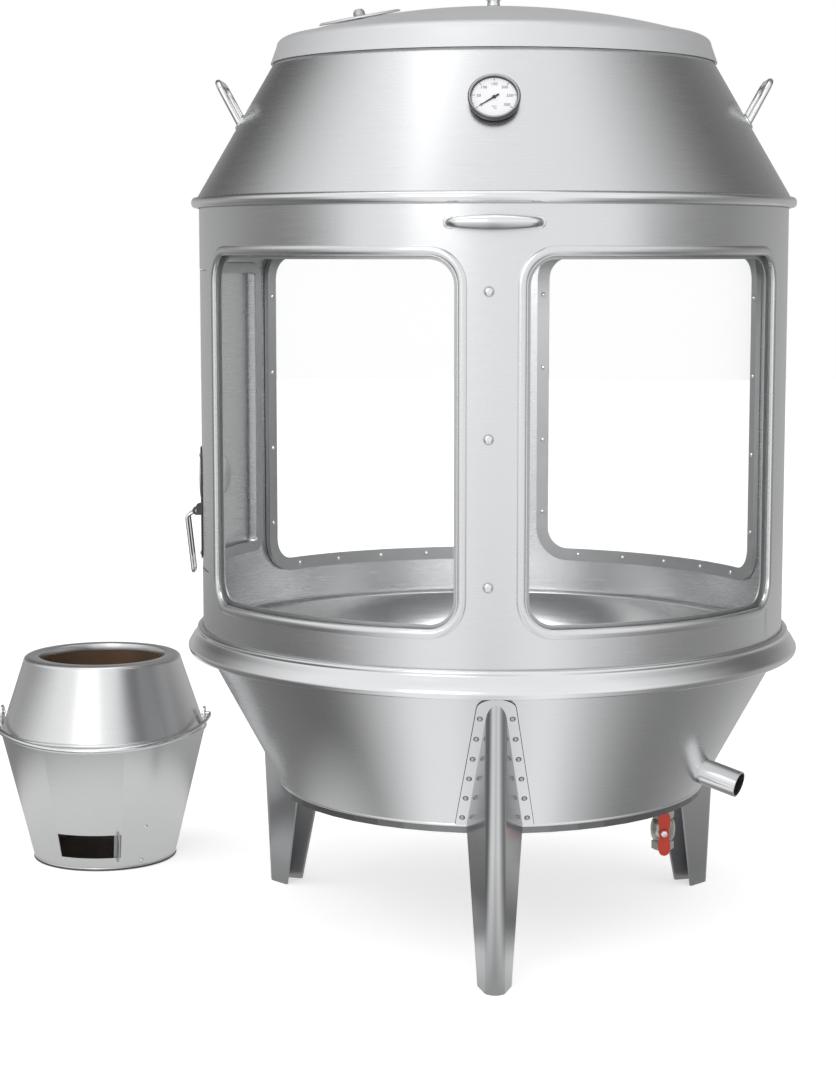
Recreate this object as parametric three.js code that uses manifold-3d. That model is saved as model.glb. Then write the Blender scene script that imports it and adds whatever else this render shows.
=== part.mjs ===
// Duck roasting oven: a windowed steel drum on three channel legs, with a lift-off hood and domed lid,
// a drip pan, an oil pipe and a drain valve below, and its charcoal fire pot standing beside it.
// Millimetres, +Z up, front towards -Y.
// Azimuths are degrees round the drum from the front, positive to the right.
import * as THREE from "three";
import { mergeVertices } from "three/addons/utils/BufferGeometryUtils.js";
import Module from "manifold-3d";

const wasm = await Module();
wasm.setup();

// Fits, sheets and facet counts
const gap = 0.3;
const runningGap = 1;
const overrun = 8;
const weldDistance = 1e-4;
const drumSheet = 2.5;
const coverSheet = 2;
const drumSides = 48;
const potSides = 28;
const hiddenSides = 32;
const dialSides = 24;
const smallSides = 12;
const rodSides = 8;
const tinySides = 12;
const cornerSteps = 3;
const straightSteps = 7;

// Girth of the drum: four windows, the side door and the posts between them
const windowWidth = 470;
const doorWidth = 360;
const frontPostWidth = 65.9;
const sidePostWidth = 299.2;
const rearPostWidth = 38.1;
const hingePostWidth = 32.3;
const doorPostWidth = 26.3;
const windowGirth = windowWidth * 4;
const postGirth = frontPostWidth + sidePostWidth + rearPostWidth + hingePostWidth + doorPostWidth;
const drumGirth = windowGirth + doorWidth + postGirth;
const bodyRadius = drumGirth / (2 * Math.PI);
const turnAlong = (length) => (360 * length) / drumGirth;

// Heights from the floor up: bowl, drum and rings
const bowlBottom = 212.4;
const bowlDepth = 219.3;
const bowlTop = bowlBottom + bowlDepth;
const baseRingLedge = 2;
const bodyBottom = bowlTop + gap + baseRingLedge + gap;
const bodyHeight = 640.4;
const bodyTop = bodyBottom + bodyHeight;
const topRingPlate = 3;
const topRingHigh = bodyTop + gap + topRingPlate;
const topRingHeight = 14.6;
const topRingLow = topRingHigh - topRingHeight;
const topRingReach = 11.2;
const topRingRadius = bodyRadius + topRingReach;
const topRingLap = 18;
const topRingInnerRadius = bodyRadius - topRingLap;
const baseRingReach = 22.4;
const baseRingRadius = bodyRadius + baseRingReach;
const baseRingRise = 17.7;
const baseRingHigh = bodyBottom + baseRingRise;
const baseRingHeight = 36.5;
const baseRingLow = baseRingHigh - baseRingHeight;
const baseRingLap = 26;
const baseRingLedgeRadius = bodyRadius - baseRingLap;
const rimRoundShares = [
  [0.4, 0],
  [1, 0.32],
  [1, 0.68],
  [0.4, 1],
];

// Windows
const windowCentre = turnAlong((windowWidth + frontPostWidth) / 2);
const rearRightCentre = windowCentre + turnAlong(windowWidth + sidePostWidth);
const windowCentres = {
  front_left: -windowCentre,
  front_right: windowCentre,
  rear_right: rearRightCentre,
  rear_left: rearRightCentre + turnAlong(windowWidth + rearPostWidth),
};
const windowSill = 57.7;
const windowHead = 66.3;
const windowBottom = bodyBottom + windowSill;
const windowTop = bodyTop - windowHead;
const windowCorner = 52;
const beadWidth = 12;
const beadHeight = 3.5;
const beadSlope = 4;
const beadRoot = 1.2;
const openingInset = 13;
const glassLap = 9;
const glassThickness = 4;
const frameWidth = 20;
const frameLip = 5;
const frameSheet = 2;

// Side door with its stop frame, hinges, cup pull and drop handle
const doorCentre = -windowCentre - turnAlong((windowWidth + doorWidth) / 2 + doorPostWidth);
const doorSill = 105.7;
const doorHead = 99.7;
const doorBottom = bodyBottom + doorSill;
const doorTop = bodyTop - doorHead;
const doorCorner = 14;
const doorGap = 1.2;
const doorDepth = 9;
const doorSheet = 1.6;
const doorSetBack = 0.4;
const stopWidth = 16;
const stopLap = 7;
const stopThickness = 3;
const hingeOutset = 7;
const hingeBarrelRadius = 6;
const hingePinRadius = 3;
const hingeBarrelHeight = 32;
const hingePlateThickness = 1.8;
const hingePlateHeight = 52;
const hingeStrapReach = 44;
const hingePlateReach = 20;
const hingeColumns = 3;
const hingeInset = 85;
const pullWidth = 130;
const pullHeight = 164;
const pullCorner = 22;
const pullPlate = 1.6;
const pullRise = 92;
const pullCentreHeight = doorBottom + pullRise;
const pullOffset = 41.3;
const pullAzimuth = doorCentre + turnAlong(pullOffset);
const cupRadius = 39;
const cupSides = 18;
const cupDepth = 42;
const cupWall = 1.6;
const cupMargin = 2.4;
const cupRaise = pullHeight / 2 - cupRadius - cupWall - cupMargin;
const cupFloorShare = 0.55;
const dropPivotOutset = 8;
const dropPivotFall = 11.4;
const dropPivotHeight = pullCentreHeight + cupRaise - cupRadius - cupWall - dropPivotFall;
const dropHalfWidth = 19;
const dropRodRadius = 2.6;
const dropKneeOutset = 24;
const dropKneeFall = 9;
const dropLowOutset = 15;
const dropLength = 92;
const lugThickness = 5;
const lugHeight = 13;

// Front bar handle under the top ring
const barAzimuth = 0.3;
const barDrop = 25.4;
const barHeight = topRingLow - barDrop;
const barHalfSpan = 58;
const barStandOff = 20;
const barEndRadius = 6;
const barMidRadius = 10;
const barBossRadius = 8.5;
const barBossThickness = 5;

// Hood, its collar, its rod handles and its thermometer
const hoodBottom = topRingHigh + gap;
const hoodFootStep = 9.2;
const hoodFootRadius = topRingRadius - hoodFootStep;
const hoodSlope = 0.585;
const hoodRadiusAt = (height) => hoodFootRadius - hoodSlope * (height - hoodBottom);
const hoodFootWidth = 14;
const collarDepth = 11;
const handleAzimuth = 90;
const handleFootRise = 107.7;
const handleFootHeight = hoodBottom + handleFootRise;
const handleHalfWidth = 48;
const handleReachOut = 30;
const handleReachUp = 58;
const handleRodRadius = 4.6;
const handleCornerRadius = 20;
const handlePadRadius = 12;
const handlePadThickness = 3;
const thermometerRise = 118.7;
const thermometerHeight = hoodBottom + thermometerRise;
const thermometerAzimuth = 0.2;
const caseRadius = 34.5;
const caseDepth = 13;
const caseWall = 3;
const bezelLip = 3.2;
const dialThickness = 1.2;
const dialDepthShare = 0.55;
const needleLength = 24;
const needleTail = 7;
const needleWidth = 3.4;
const needleTipWidth = 0.9;
const needleThickness = 0.8;
const needleHubRadius = 2.6;
const needleRestTurn = 125;
const lensThickness = 1.6;
const probeRadius = 4;
const probeLength = 95;
const probeNutRadius = 11;
const probeNutThickness = 6;

// Domed lid, its knob and its turning vent cover
const lidRimRise = 191.9;
const lidRimHeight = hoodBottom + lidRimRise;
const lidRimReach = 4.5;
const lidRimRadius = hoodRadiusAt(lidRimHeight) + lidRimReach;
const lidSkirtHeight = 24.6;
const lidShoulderHeight = lidRimHeight + lidSkirtHeight;
const lidSkirtDraw = 8.7;
const lidShoulderRadius = lidRimRadius - lidSkirtDraw;
const lidRoundWidth = 23.6;
const lidRoundCentre = lidShoulderRadius - lidRoundWidth;
const lidRoundRise = 14.2;
const lidDomeRise = 41;
const lidRoundSteps = 2;
const lidDomeSteps = 3;
const knobStemRadius = 9;
const knobHeadRadius = 15;
const knobStemHeight = 14;
const knobHeadHeight = 18;
const knobScrewRadius = 4;
const ventRadius = 62;
const ventThickness = 2;
const ventRise = 3.4;
const ventEdgeWidth = 77.9;
const ventDistance = lidRoundCentre - ventEdgeWidth;
const ventAzimuth = -62;
const ventHoleRadius = 14;
const ventHoleDistance = 38;
const ventHoleCount = 4;
const ventPinRadius = 4;
const ventPinDrop = 8;
const ventKnobRadius = 8;
const ventKnobHeight = 12;
const ventWasherRadius = 11;

// Hanger: a bar across the drum carries a turning ring that the ducks hang from
const bridgeDrop = 28.7;
const bridgeHeight = bodyTop - bridgeDrop;
const bridgeWidth = 34;
const bridgeThickness = 6;
const bridgeLipHeight = 14;
const shaftRadius = 8;
const shaftHeadRadius = 14;
const shaftHeadHeight = 7;
const shaftDrop = 30;
const hubRadius = 26;
const hubHeight = 14;
const hangRingClearance = 95;
const hangRingRadius = bodyRadius - hangRingClearance;
const hangRingSpacing = 145;
const hangInnerRadius = hangRingRadius - hangRingSpacing;
const hangRodRadius = 5;
const hangArmCount = 4;
const hangBandHeight = 12;

// Bowl, floor, drip pan and oil pipe
const bowlTopReach = 3.5;
const bowlTopRadius = bodyRadius + bowlTopReach;
const bowlSlope = 0.538;
const bowlRadiusAt = (height) => bowlTopRadius - bowlSlope * (bowlTop - height);
const floorRadius = bowlRadiusAt(bowlBottom);
const floorSkirt = 9;
const panRimWidth = 13;
const panRimClearance = 16;
const panRimRadius = bodyRadius - panRimClearance;
const panSlopeWidth = 105;
const panGutterOuterRadius = panRimRadius - panSlopeWidth;
const panTrayLap = 9;
const panGutterRadius = panGutterOuterRadius - panTrayLap;
const panDepth = 130.3;
const panGutterHeight = bodyBottom - panDepth;
const panGutterWidth = 16;
const panInnerRadius = panGutterRadius - panGutterWidth;
const panUpstandLean = 5;
const panUpstandRadius = panInnerRadius - panUpstandLean;
const panUpstand = 28;
const spoutRadius = 12;
const spoutBore = 9.5;
const spoutDrop = 16;
const pipeAzimuth = 63;
const pipeRadius = 19;
const pipeWall = 2;
const pipeMouthDrop = 8;
const pipeElbowDrop = 36;
const pipeEndInset = 32;
const pipeEndRadius = bodyRadius - pipeEndInset;
const pipeEndRise = 31.6;
const pipeEndHeight = bowlBottom + pipeEndRise;
const pipeBend = 22;
const pipeBendSteps = 5;

// Drain valve under the floor
const valveInset = 53.5;
const valveX = floorRadius - valveInset;
const valveY = 20;
const valveDrop = 83.4;
const valveHeight = bowlBottom - valveDrop;
const valveHalfLength = 31;
const valveEndRadius = 17;
const valveEndLength = 13;
const valveBellyRadius = 19;
const valveBore = 8;
const valveBallRadius = 13;
const valveStemRadius = 4;
const valveStemReach = 31;
const valveNeckRadius = 9;
const valveNeckReach = 26;
const nippleRadius = 10.5;
const nippleSocket = 9;
const nippleNutRadius = 19;
const nippleNutHeight = 8;
const leverHalfLength = 34;
const leverWidth = 22;
const leverWaist = 11;
const leverThickness = 3;
const leverHubRadius = 8;
const leverHubHeight = 6;

// Legs: folded channels with a round nose, riveted to the bowl by a flange
const legCount = 3;
const legAzimuth = 1;
const legFootInset = 30;
const legFootRadius = bodyRadius - legFootInset;
const legTopInset = 9;
const legTopRadius = bodyRadius - legTopInset;
const legTopDrop = 27.7;
const legTop = bowlTop - legTopDrop;
const legNoseRadius = 15;
const legFlare = 16.4;
const legFootDepth = 42;
const legFootBack = legFootRadius - legFootDepth;
const legBackClearance = 3;
const legBowlBack = floorRadius + legBackClearance;
const legSheet = 3;
const legNoseSteps = 4;
const flangeSheet = 2.5;
const flangeBottomRise = 3.6;
const flangeBottom = bowlBottom + flangeBottomRise;
const flangeBottomHalfWidth = 54;
const flangeTopHalfWidth = 26;
const flangeTopRise = 8;
const flangeTop = legTop + flangeTopRise;
const flangeRoundHeight = 13;
const flangeRoundSteps = 3;
const flangeColumns = 4;

// Fire pot beside the oven
const potRimRadius = 168;
const potTaper = 52;
const potBottomRadius = potRimRadius - potTaper;
const potRimHeight = 214;
const potCoverHeight = 125;
const potHeight = potRimHeight + potCoverHeight;
const potCoverDraw = 41;
const potTopRadius = potRimRadius - potCoverDraw;
const potTopWidth = 23;
const potMouthRadius = potTopRadius - potTopWidth;
const potSheet = 2;
const potBeadRadius = 3.2;
const potFloorHeight = 7;
const potTopRound = 7;
const potTopHem = 12;
const linerMouthInset = 1.5;
const linerWaistReach = 5;
const linerWaistRadius = potMouthRadius + linerWaistReach;
const linerBottom = 82;
const linerFootInset = 8;
const linerFootRadius = potMouthRadius - linerFootInset;
const linerLedgeWidth = 12;
const linerLedgeRadius = linerFootRadius - linerLedgeWidth;
const linerLedgeThickness = 8;
const linerLedgeHeight = linerBottom + linerLedgeThickness;
const grateClearance = 2;
const grateRadius = linerFootRadius - grateClearance;
const grateThickness = 7;
const grateRimWidth = 9;
const grateBarWidth = 8;
const grateBarCount = 6;
const airCentre = -2.5;
const airWidth = 47;
const airLow = 23;
const airHeight = 40;
const airHigh = airLow + airHeight;
const damperMargin = 4;
const damperThickness = 1.5;
const damperLap = 3;
const damperTabInset = 2;
const damperTabReach = 20;
const damperTabHeight = 53;
const damperTabThickness = 2;
const railThickness = 3;
const railLip = 4;
const bailPivotRise = 26;
const bailPivotHeight = potRimHeight + bailPivotRise;
const bailClearance = 10;
const bailRadius = potRimRadius + bailClearance;
const bailWireRadius = 3;
const bailFrontFall = 29;
const bailFrontHeight = bailPivotHeight - bailFrontFall;
const bailSteps = 18;
const bailGripShare = 0.18;
const bailGripRadius = 4.2;
const bailTipReach = 14;
const earThickness = 3;
const earWidth = 26;
const earTopRise = 12;
const earTop = bailPivotHeight + earTopRise;
const earReach = 2;
const earOuterRadius = potRimRadius + earReach;
const earHoleRadius = 4.2;
const potStandOff = 96.45;
const potAzimuth = -117.62;
const potDistance = baseRingRadius + potStandOff + bailRadius;

// Finishes
const brushedSteel = { color: 0xc6c8ca, roughness: 0.34, metalness: 0.95 };
const polishedSteel = { color: 0xd7d9db, roughness: 0.18, metalness: 1 };
const dullSteel = { color: 0x8f9193, roughness: 0.5, metalness: 0.9 };
const darkSteel = { color: 0x3c3d3f, roughness: 0.45, metalness: 0.8 };
const clearGlass = { color: 0xdfeee8, roughness: 0.05, metalness: 0, transparent: true, opacity: 0.3 };
const dialWhite = { color: 0xe9e8f4, roughness: 0.5, metalness: 0 };
const needleBlack = { color: 0x2b2c30, roughness: 0.5, metalness: 0.2 };
const leverRed = { color: 0xd6371f, roughness: 0.4, metalness: 0.1 };
const valveBrass = { color: 0xc9c4b4, roughness: 0.3, metalness: 0.9 };
const fireClay = { color: 0x6f5a38, roughness: 0.95, metalness: 0 };
const castIron = { color: 0x35342f, roughness: 0.8, metalness: 0.6 };

const radians = (angle) => (angle * Math.PI) / 180;
const degrees = (angle) => (angle * 180) / Math.PI;
const facetLoss = (radius, sides = drumSides) => radius * (1 - Math.cos(Math.PI / sides));

// A point at a distance from the drum's axis, at an azimuth and a height.
function onDrum(radius, azimuth, height) {
  const turn = radians(azimuth);
  return new THREE.Vector3(radius * Math.sin(turn), -radius * Math.cos(turn), height);
}

// A frame on a surface: x runs round the drum, y up the slope and z out along the normal.
function surfaceFrame(radius, azimuth, height, tilt = 0) {
  const turn = radians(azimuth);
  const lean = radians(tilt);
  const outward = new THREE.Vector3(Math.sin(turn), -Math.cos(turn), 0);
  const up = new THREE.Vector3(0, 0, 1);
  const across = new THREE.Vector3(Math.cos(turn), Math.sin(turn), 0);
  const normal = outward.clone().multiplyScalar(Math.cos(lean)).addScaledVector(up, Math.sin(lean));
  const slope = outward.clone().multiplyScalar(-Math.sin(lean)).addScaledVector(up, Math.cos(lean));
  return new THREE.Matrix4().makeBasis(across, slope, normal).setPosition(onDrum(radius, azimuth, height));
}

// A closed solid from points and triangles, with its faces turned outwards.
function closedSolid(positions, triangles) {
  const corners = [new THREE.Vector3(), new THREE.Vector3(), new THREE.Vector3()];
  let volume = 0;
  for (let i = 0; i < triangles.length; i += 3) {
    corners.forEach((corner, k) => corner.fromArray(positions, 3 * triangles[i + k]));
    volume += corners[0].dot(corners[1].cross(corners[2]));
  }
  const faces = volume < 0 ? triangles.toReversed() : triangles;
  const mesh = new wasm.Mesh({
    numProp: 3,
    vertProperties: new Float32Array(positions),
    triVerts: new Uint32Array(faces),
  });
  return new wasm.Manifold(mesh);
}

// A solid from a closed three.js geometry, placed by a matrix.
function solidOf(geometry, matrix = new THREE.Matrix4()) {
  const plain = geometry.index ? geometry.toNonIndexed() : geometry.clone();
  for (const name of Object.keys(plain.attributes)) {
    if (name !== "position") plain.deleteAttribute(name);
  }
  const merged = mergeVertices(plain.applyMatrix4(matrix), weldDistance);
  const triangles = [];
  for (let i = 0; i < merged.index.count; i += 3) {
    const [a, b, c] = merged.index.array.slice(i, i + 3);
    if (a !== b && b !== c && c !== a) triangles.push(a, b, c);
  }
  return closedSolid(Array.from(merged.attributes.position.array), triangles);
}

function geometryOf(solid) {
  const { vertProperties, triVerts } = solid.getMesh();
  const geometry = new THREE.BufferGeometry();
  geometry.setAttribute("position", new THREE.BufferAttribute(new Float32Array(vertProperties), 3));
  geometry.setIndex(new THREE.BufferAttribute(new Uint32Array(triVerts), 1));
  const faceted = geometry.toNonIndexed();
  faceted.computeVertexNormals();
  return faceted;
}

// A profile of [radius, height] pairs turned round the vertical axis.
function revolve(profile, sides = drumSides, matrix) {
  const onAxis = profile[0][0] === 0 && profile.at(-1)[0] === 0;
  const outline = onAxis ? profile : [...profile, profile[0]];
  const lathe = new THREE.LatheGeometry(
    outline.map(([radius, height]) => new THREE.Vector2(radius, height)),
    sides,
  );
  lathe.rotateX(Math.PI / 2);
  return solidOf(lathe, matrix);
}

// A round bar along local z, between two heights.
function roundBar(radius, low, high, sides = smallSides, matrix) {
  return revolve([[0, low], [radius, low], [radius, high], [0, high]], sides, matrix);
}

function block(width, depth, height, centre, matrix = new THREE.Matrix4()) {
  const box = new THREE.BoxGeometry(width, depth, height).translate(centre.x, centre.y, centre.z);
  return solidOf(box, matrix);
}

// A thin solid from rows of [inner, outer] point pairs.
function sheetSolid(rows) {
  const columns = rows[0].length;
  const positions = [];
  const triangles = [];
  rows.forEach((row) => row.forEach(([inner, outer]) => positions.push(...inner, ...outer)));
  const at = (row, column, side) => 2 * (row * columns + column) + side;
  const quad = (a, b, c, d) => triangles.push(a, b, c, a, c, d);
  const lastRow = rows.length - 1;
  const lastColumn = columns - 1;
  for (let r = 0; r < lastRow; r++) {
    for (let c = 0; c < lastColumn; c++) {
      quad(at(r, c, 1), at(r, c + 1, 1), at(r + 1, c + 1, 1), at(r + 1, c, 1));
      quad(at(r, c, 0), at(r + 1, c, 0), at(r + 1, c + 1, 0), at(r, c + 1, 0));
    }
    quad(at(r, 0, 0), at(r, 0, 1), at(r + 1, 0, 1), at(r + 1, 0, 0));
    quad(at(r, lastColumn, 0), at(r + 1, lastColumn, 0), at(r + 1, lastColumn, 1), at(r, lastColumn, 1));
  }
  for (let c = 0; c < lastColumn; c++) {
    quad(at(0, c, 0), at(0, c + 1, 0), at(0, c + 1, 1), at(0, c, 1));
    quad(at(lastRow, c, 0), at(lastRow, c, 1), at(lastRow, c + 1, 1), at(lastRow, c + 1, 0));
  }
  return closedSolid(positions, triangles);
}

// A solid through sections of equal point counts, closed by a flat cap at each end.
function loft(sections) {
  const count = sections[0].length;
  const positions = sections.flat().flatMap((point) => point.toArray());
  const triangles = [];
  for (let s = 0; s < sections.length - 1; s++) {
    for (let k = 0; k < count; k++) {
      const next = (k + 1) % count;
      const low = s * count;
      const high = low + count;
      triangles.push(low + k, low + next, high + next, low + k, high + next, high + k);
    }
  }
  const cap = (section, first, reversed) => {
    const normal = new THREE.Vector3();
    section.forEach((point, k) => normal.add(point.clone().cross(section[(k + 1) % count])));
    normal.normalize();
    const across = section[1].clone().sub(section[0]).projectOnPlane(normal).normalize();
    const aside = normal.clone().cross(across);
    const flat = section.map((point) => new THREE.Vector2(point.dot(across), point.dot(aside)));
    for (const [a, b, c] of THREE.ShapeUtils.triangulateShape(flat, [])) {
      const area = flat[b].clone().sub(flat[a]).cross(flat[c].clone().sub(flat[a]));
      const keep = area > 0 !== reversed;
      triangles.push(...(keep ? [a, b, c] : [a, c, b]).map((index) => index + first));
    }
  };
  cap(sections[0], 0, true);
  cap(sections.at(-1), (sections.length - 1) * count, false);
  return closedSolid(positions, triangles);
}

// A solid through closed loops that follow each other and come back to the first.
function loopBand(loops) {
  const count = loops[0].length;
  const positions = loops.flat().flatMap((point) => point.toArray());
  const triangles = [];
  loops.forEach((loop, s) => {
    const low = s * count;
    const high = ((s + 1) % loops.length) * count;
    for (let k = 0; k < count; k++) {
      const next = (k + 1) % count;
      triangles.push(low + k, low + next, high + next, low + k, high + next, high + k);
    }
  });
  return closedSolid(positions, triangles);
}

// A bar of round section along a path; the radius is one value or one for each point.
function rod(path, radius, sides = rodSides) {
  const radii = Array.isArray(radius) ? radius : path.map(() => radius);
  const tangents = path.map((point, i) => {
    const before = path[Math.max(i - 1, 0)];
    const after = path[Math.min(i + 1, path.length - 1)];
    return after.clone().sub(before).normalize();
  });
  const steep = Math.abs(tangents[0].z) > Math.SQRT1_2;
  const start = steep ? new THREE.Vector3(1, 0, 0) : new THREE.Vector3(0, 0, 1);
  let side = start.projectOnPlane(tangents[0]).normalize();
  const sections = path.map((point, i) => {
    side = side.clone().projectOnPlane(tangents[i]).normalize();
    const other = tangents[i].clone().cross(side);
    return Array.from({ length: sides }, (_, k) => {
      const turn = (2 * Math.PI * k) / sides;
      return point
        .clone()
        .addScaledVector(side, radii[i] * Math.cos(turn))
        .addScaledVector(other, radii[i] * Math.sin(turn));
    });
  });
  return loft(sections);
}

// A path through corner points, with each inner corner rounded off.
function roundedPath(corners, reach, steps) {
  const path = [corners[0]];
  for (let i = 1; i < corners.length - 1; i++) {
    const before = corners[i - 1].clone().sub(corners[i]).setLength(reach).add(corners[i]);
    const after = corners[i + 1].clone().sub(corners[i]).setLength(reach).add(corners[i]);
    const bend = new THREE.QuadraticBezierCurve3(before, corners[i], after);
    path.push(...bend.getPoints(steps));
  }
  path.push(corners.at(-1));
  return path;
}

// Columns across a rounded rectangle: how far along each stands, and its low and high ends.
function roundedColumns(width, bottom, top, corner, steps = straightSteps) {
  const half = width / 2;
  const arc = Array.from({ length: cornerSteps + 1 }, (_, step) => {
    const turn = ((step / cornerSteps) * Math.PI) / 2;
    return { along: half - corner * (1 - Math.cos(turn)), inset: corner * (1 - Math.sin(turn)) };
  });
  const left = arc.map(({ along, inset }) => ({ along: -along, inset }));
  const straight = Array.from({ length: steps - 1 }, (_, step) => ({
    along: (width - 2 * corner) * ((step + 1) / steps - 0.5),
    inset: 0,
  }));
  return [...left, ...straight, ...arc.toReversed()].map(({ along, inset }) => ({
    along,
    low: bottom + inset,
    high: top - inset,
  }));
}

// A rounded rectangle bent round the drum, measured along the drum's outer face.
function drumPanel(panel, inset, inner, outer) {
  const { centre, width, bottom, top, corner, steps } = panel;
  const columns = roundedColumns(width - 2 * inset, bottom + inset, top - inset, corner - inset, steps);
  return sheetSolid(
    columns.map(({ along, low, high }) => {
      const azimuth = centre + degrees(along / bodyRadius);
      return [low, high].map((height) => [onDrum(inner, azimuth, height), onDrum(outer, azimuth, height)]);
    }),
  );
}

function drumLoop(panel, inset, radius) {
  const { centre, width, bottom, top, corner } = panel;
  const columns = roundedColumns(width - 2 * inset, bottom + inset, top - inset, corner - inset);
  const place = (along, height) => onDrum(radius, centre + degrees(along / bodyRadius), height);
  const low = columns.map((column) => place(column.along, column.low));
  const high = columns.toReversed().map((column) => place(column.along, column.high));
  return [...low, ...high];
}

function addPiece(group, name, solid, finish) {
  const mesh = new THREE.Mesh(geometryOf(solid), new THREE.MeshStandardMaterial(finish));
  mesh.name = name;
  group.add(mesh);
}

const oven = new THREE.Group();

// Values that several pieces share
const drumInner = bodyRadius - drumSheet;
const insideDrum = drumInner - facetLoss(drumInner) - gap;
const windowPanels = Object.entries(windowCentres).map(([name, centre]) => ({
  name,
  centre,
  width: windowWidth,
  bottom: windowBottom,
  top: windowTop,
  corner: windowCorner,
}));
const doorPanel = {
  centre: doorCentre,
  width: doorWidth,
  bottom: doorBottom,
  top: doorTop,
  corner: doorCorner,
};

// Drum shell, cut for four windows and the side door, with a pressed bead round each window
function makeBodyShell() {
  let shell = revolve([
    [drumInner, bodyBottom],
    [bodyRadius, bodyBottom],
    [bodyRadius, bodyTop],
    [drumInner, bodyTop],
  ]);
  for (const panel of windowPanels) {
    const bead = loopBand([
      drumLoop(panel, 0, bodyRadius - beadRoot),
      drumLoop(panel, beadSlope, bodyRadius + beadHeight),
      drumLoop(panel, beadWidth - beadSlope, bodyRadius + beadHeight),
      drumLoop(panel, beadWidth, bodyRadius - beadRoot),
    ]);
    shell = shell.add(bead);
    shell = shell.subtract(drumPanel(panel, openingInset, drumInner - overrun, bodyRadius + overrun));
  }
  return shell.subtract(drumPanel(doorPanel, 0, drumInner - overrun, bodyRadius + overrun));
}

// Rolled rings: the upper one caps the drum and seats the hood, the lower one joins drum and bowl
function rimProfile(inner, outer, low, high) {
  return rimRoundShares.map(([across, up]) => [inner + (outer - inner) * across, low + (high - low) * up]);
}

function makeTopRing() {
  const bodyFit = bodyRadius + gap;
  return revolve([
    [bodyFit, topRingLow],
    ...rimProfile(bodyFit, topRingRadius, topRingLow, topRingHigh),
    [topRingInnerRadius, topRingHigh],
    [topRingInnerRadius, topRingHigh - topRingPlate],
    [bodyFit, topRingHigh - topRingPlate],
  ]);
}

function makeBaseRing() {
  const bodyFit = bodyRadius + gap;
  const bowlFit = gap * 2;
  const ledgeLow = bowlTop + gap;
  return revolve([
    [bowlRadiusAt(baseRingLow) + bowlFit, baseRingLow],
    ...rimProfile(bodyFit, baseRingRadius, baseRingLow, baseRingHigh),
    [bodyFit, baseRingHigh],
    [bodyFit, ledgeLow + baseRingLedge],
    [baseRingLedgeRadius, ledgeLow + baseRingLedge],
    [baseRingLedgeRadius, ledgeLow],
    [bowlRadiusAt(ledgeLow) + bowlFit, ledgeLow],
  ]);
}

addPiece(oven, "body_shell", makeBodyShell(), brushedSteel);
addPiece(oven, "top_ring", makeTopRing(), polishedSteel);
addPiece(oven, "base_ring", makeBaseRing(), polishedSteel);

// Window panes, each held from inside by a rebated frame
const glassOuter = insideDrum;
const glassInner = glassOuter - glassThickness;
const glassInset = openingInset - glassLap;
const framePocket = glassInner - facetLoss(glassInner) - gap;

function makeWindowFrame(panel) {
  const inside = framePocket - frameSheet;
  const frameOutset = glassInset - frameWidth + glassLap + frameLip;
  const outside = insideDrum;
  const blank = drumPanel(panel, frameOutset, inside, outside);
  const pocket = drumPanel(panel, glassInset - gap * 2, framePocket, outside + overrun);
  const opening = drumPanel(panel, openingInset + frameLip, inside - overrun, outside + overrun);
  return blank.subtract(pocket).subtract(opening);
}

for (const panel of windowPanels) {
  addPiece(oven, "window_glass_" + panel.name, drumPanel(panel, glassInset, glassInner, glassOuter), clearGlass);
  addPiece(oven, "window_frame_" + panel.name, makeWindowFrame(panel), dullSteel);
}

// Side door: a folded tray that closes flush in its opening, against a stop frame inside
const doorOuter = bodyRadius - doorSetBack;
const doorInner = doorOuter - doorDepth;
const cupFrame = surfaceFrame(bodyRadius, pullAzimuth, pullCentreHeight + cupRaise);

// The cup is a tapering pocket: rounded outlines that shrink as it goes in.
function cupSolid(grow, front, back) {
  const outline = (share, depth) =>
    Array.from({ length: cupSides }, (_, k) => {
      const turn = (2 * Math.PI * (k + 0.5)) / cupSides;
      const radius = cupRadius * share + grow;
      return new THREE.Vector3(radius * Math.cos(turn), radius * Math.sin(turn), depth).applyMatrix4(cupFrame);
    });
  return loft([outline(1, front), outline(1, -back * cupFloorShare), outline(cupFloorShare, -back)]);
}

function makeDoor() {
  const tray = drumPanel(doorPanel, doorGap, doorInner, doorOuter);
  const hollow = drumPanel(doorPanel, doorGap + doorSheet, doorInner - overrun, doorOuter - doorSheet);
  const cupHole = cupSolid(cupWall + gap, overrun, cupDepth + overrun);
  return tray.subtract(hollow).subtract(cupHole);
}

function makeDoorFrame() {
  const stopOuter = insideDrum;
  const stopFace = doorInner - facetLoss(doorInner) - gap;
  const blank = drumPanel(doorPanel, stopLap - stopWidth, stopFace - stopThickness, stopOuter);
  const recess = drumPanel(doorPanel, 0, stopFace, stopOuter + overrun);
  const opening = drumPanel(doorPanel, stopLap, stopFace - stopThickness - overrun, stopOuter + overrun);
  return blank.subtract(recess).subtract(opening);
}

const pullPanel = {
  centre: pullAzimuth,
  width: pullWidth,
  bottom: pullCentreHeight - pullHeight / 2,
  top: pullCentreHeight + pullHeight / 2,
  corner: pullCorner,
  steps: 2,
};
const pullInner = bodyRadius + gap;
const pullOuter = pullInner + pullPlate;
const dropFrame = surfaceFrame(bodyRadius, pullAzimuth, dropPivotHeight);

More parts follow.
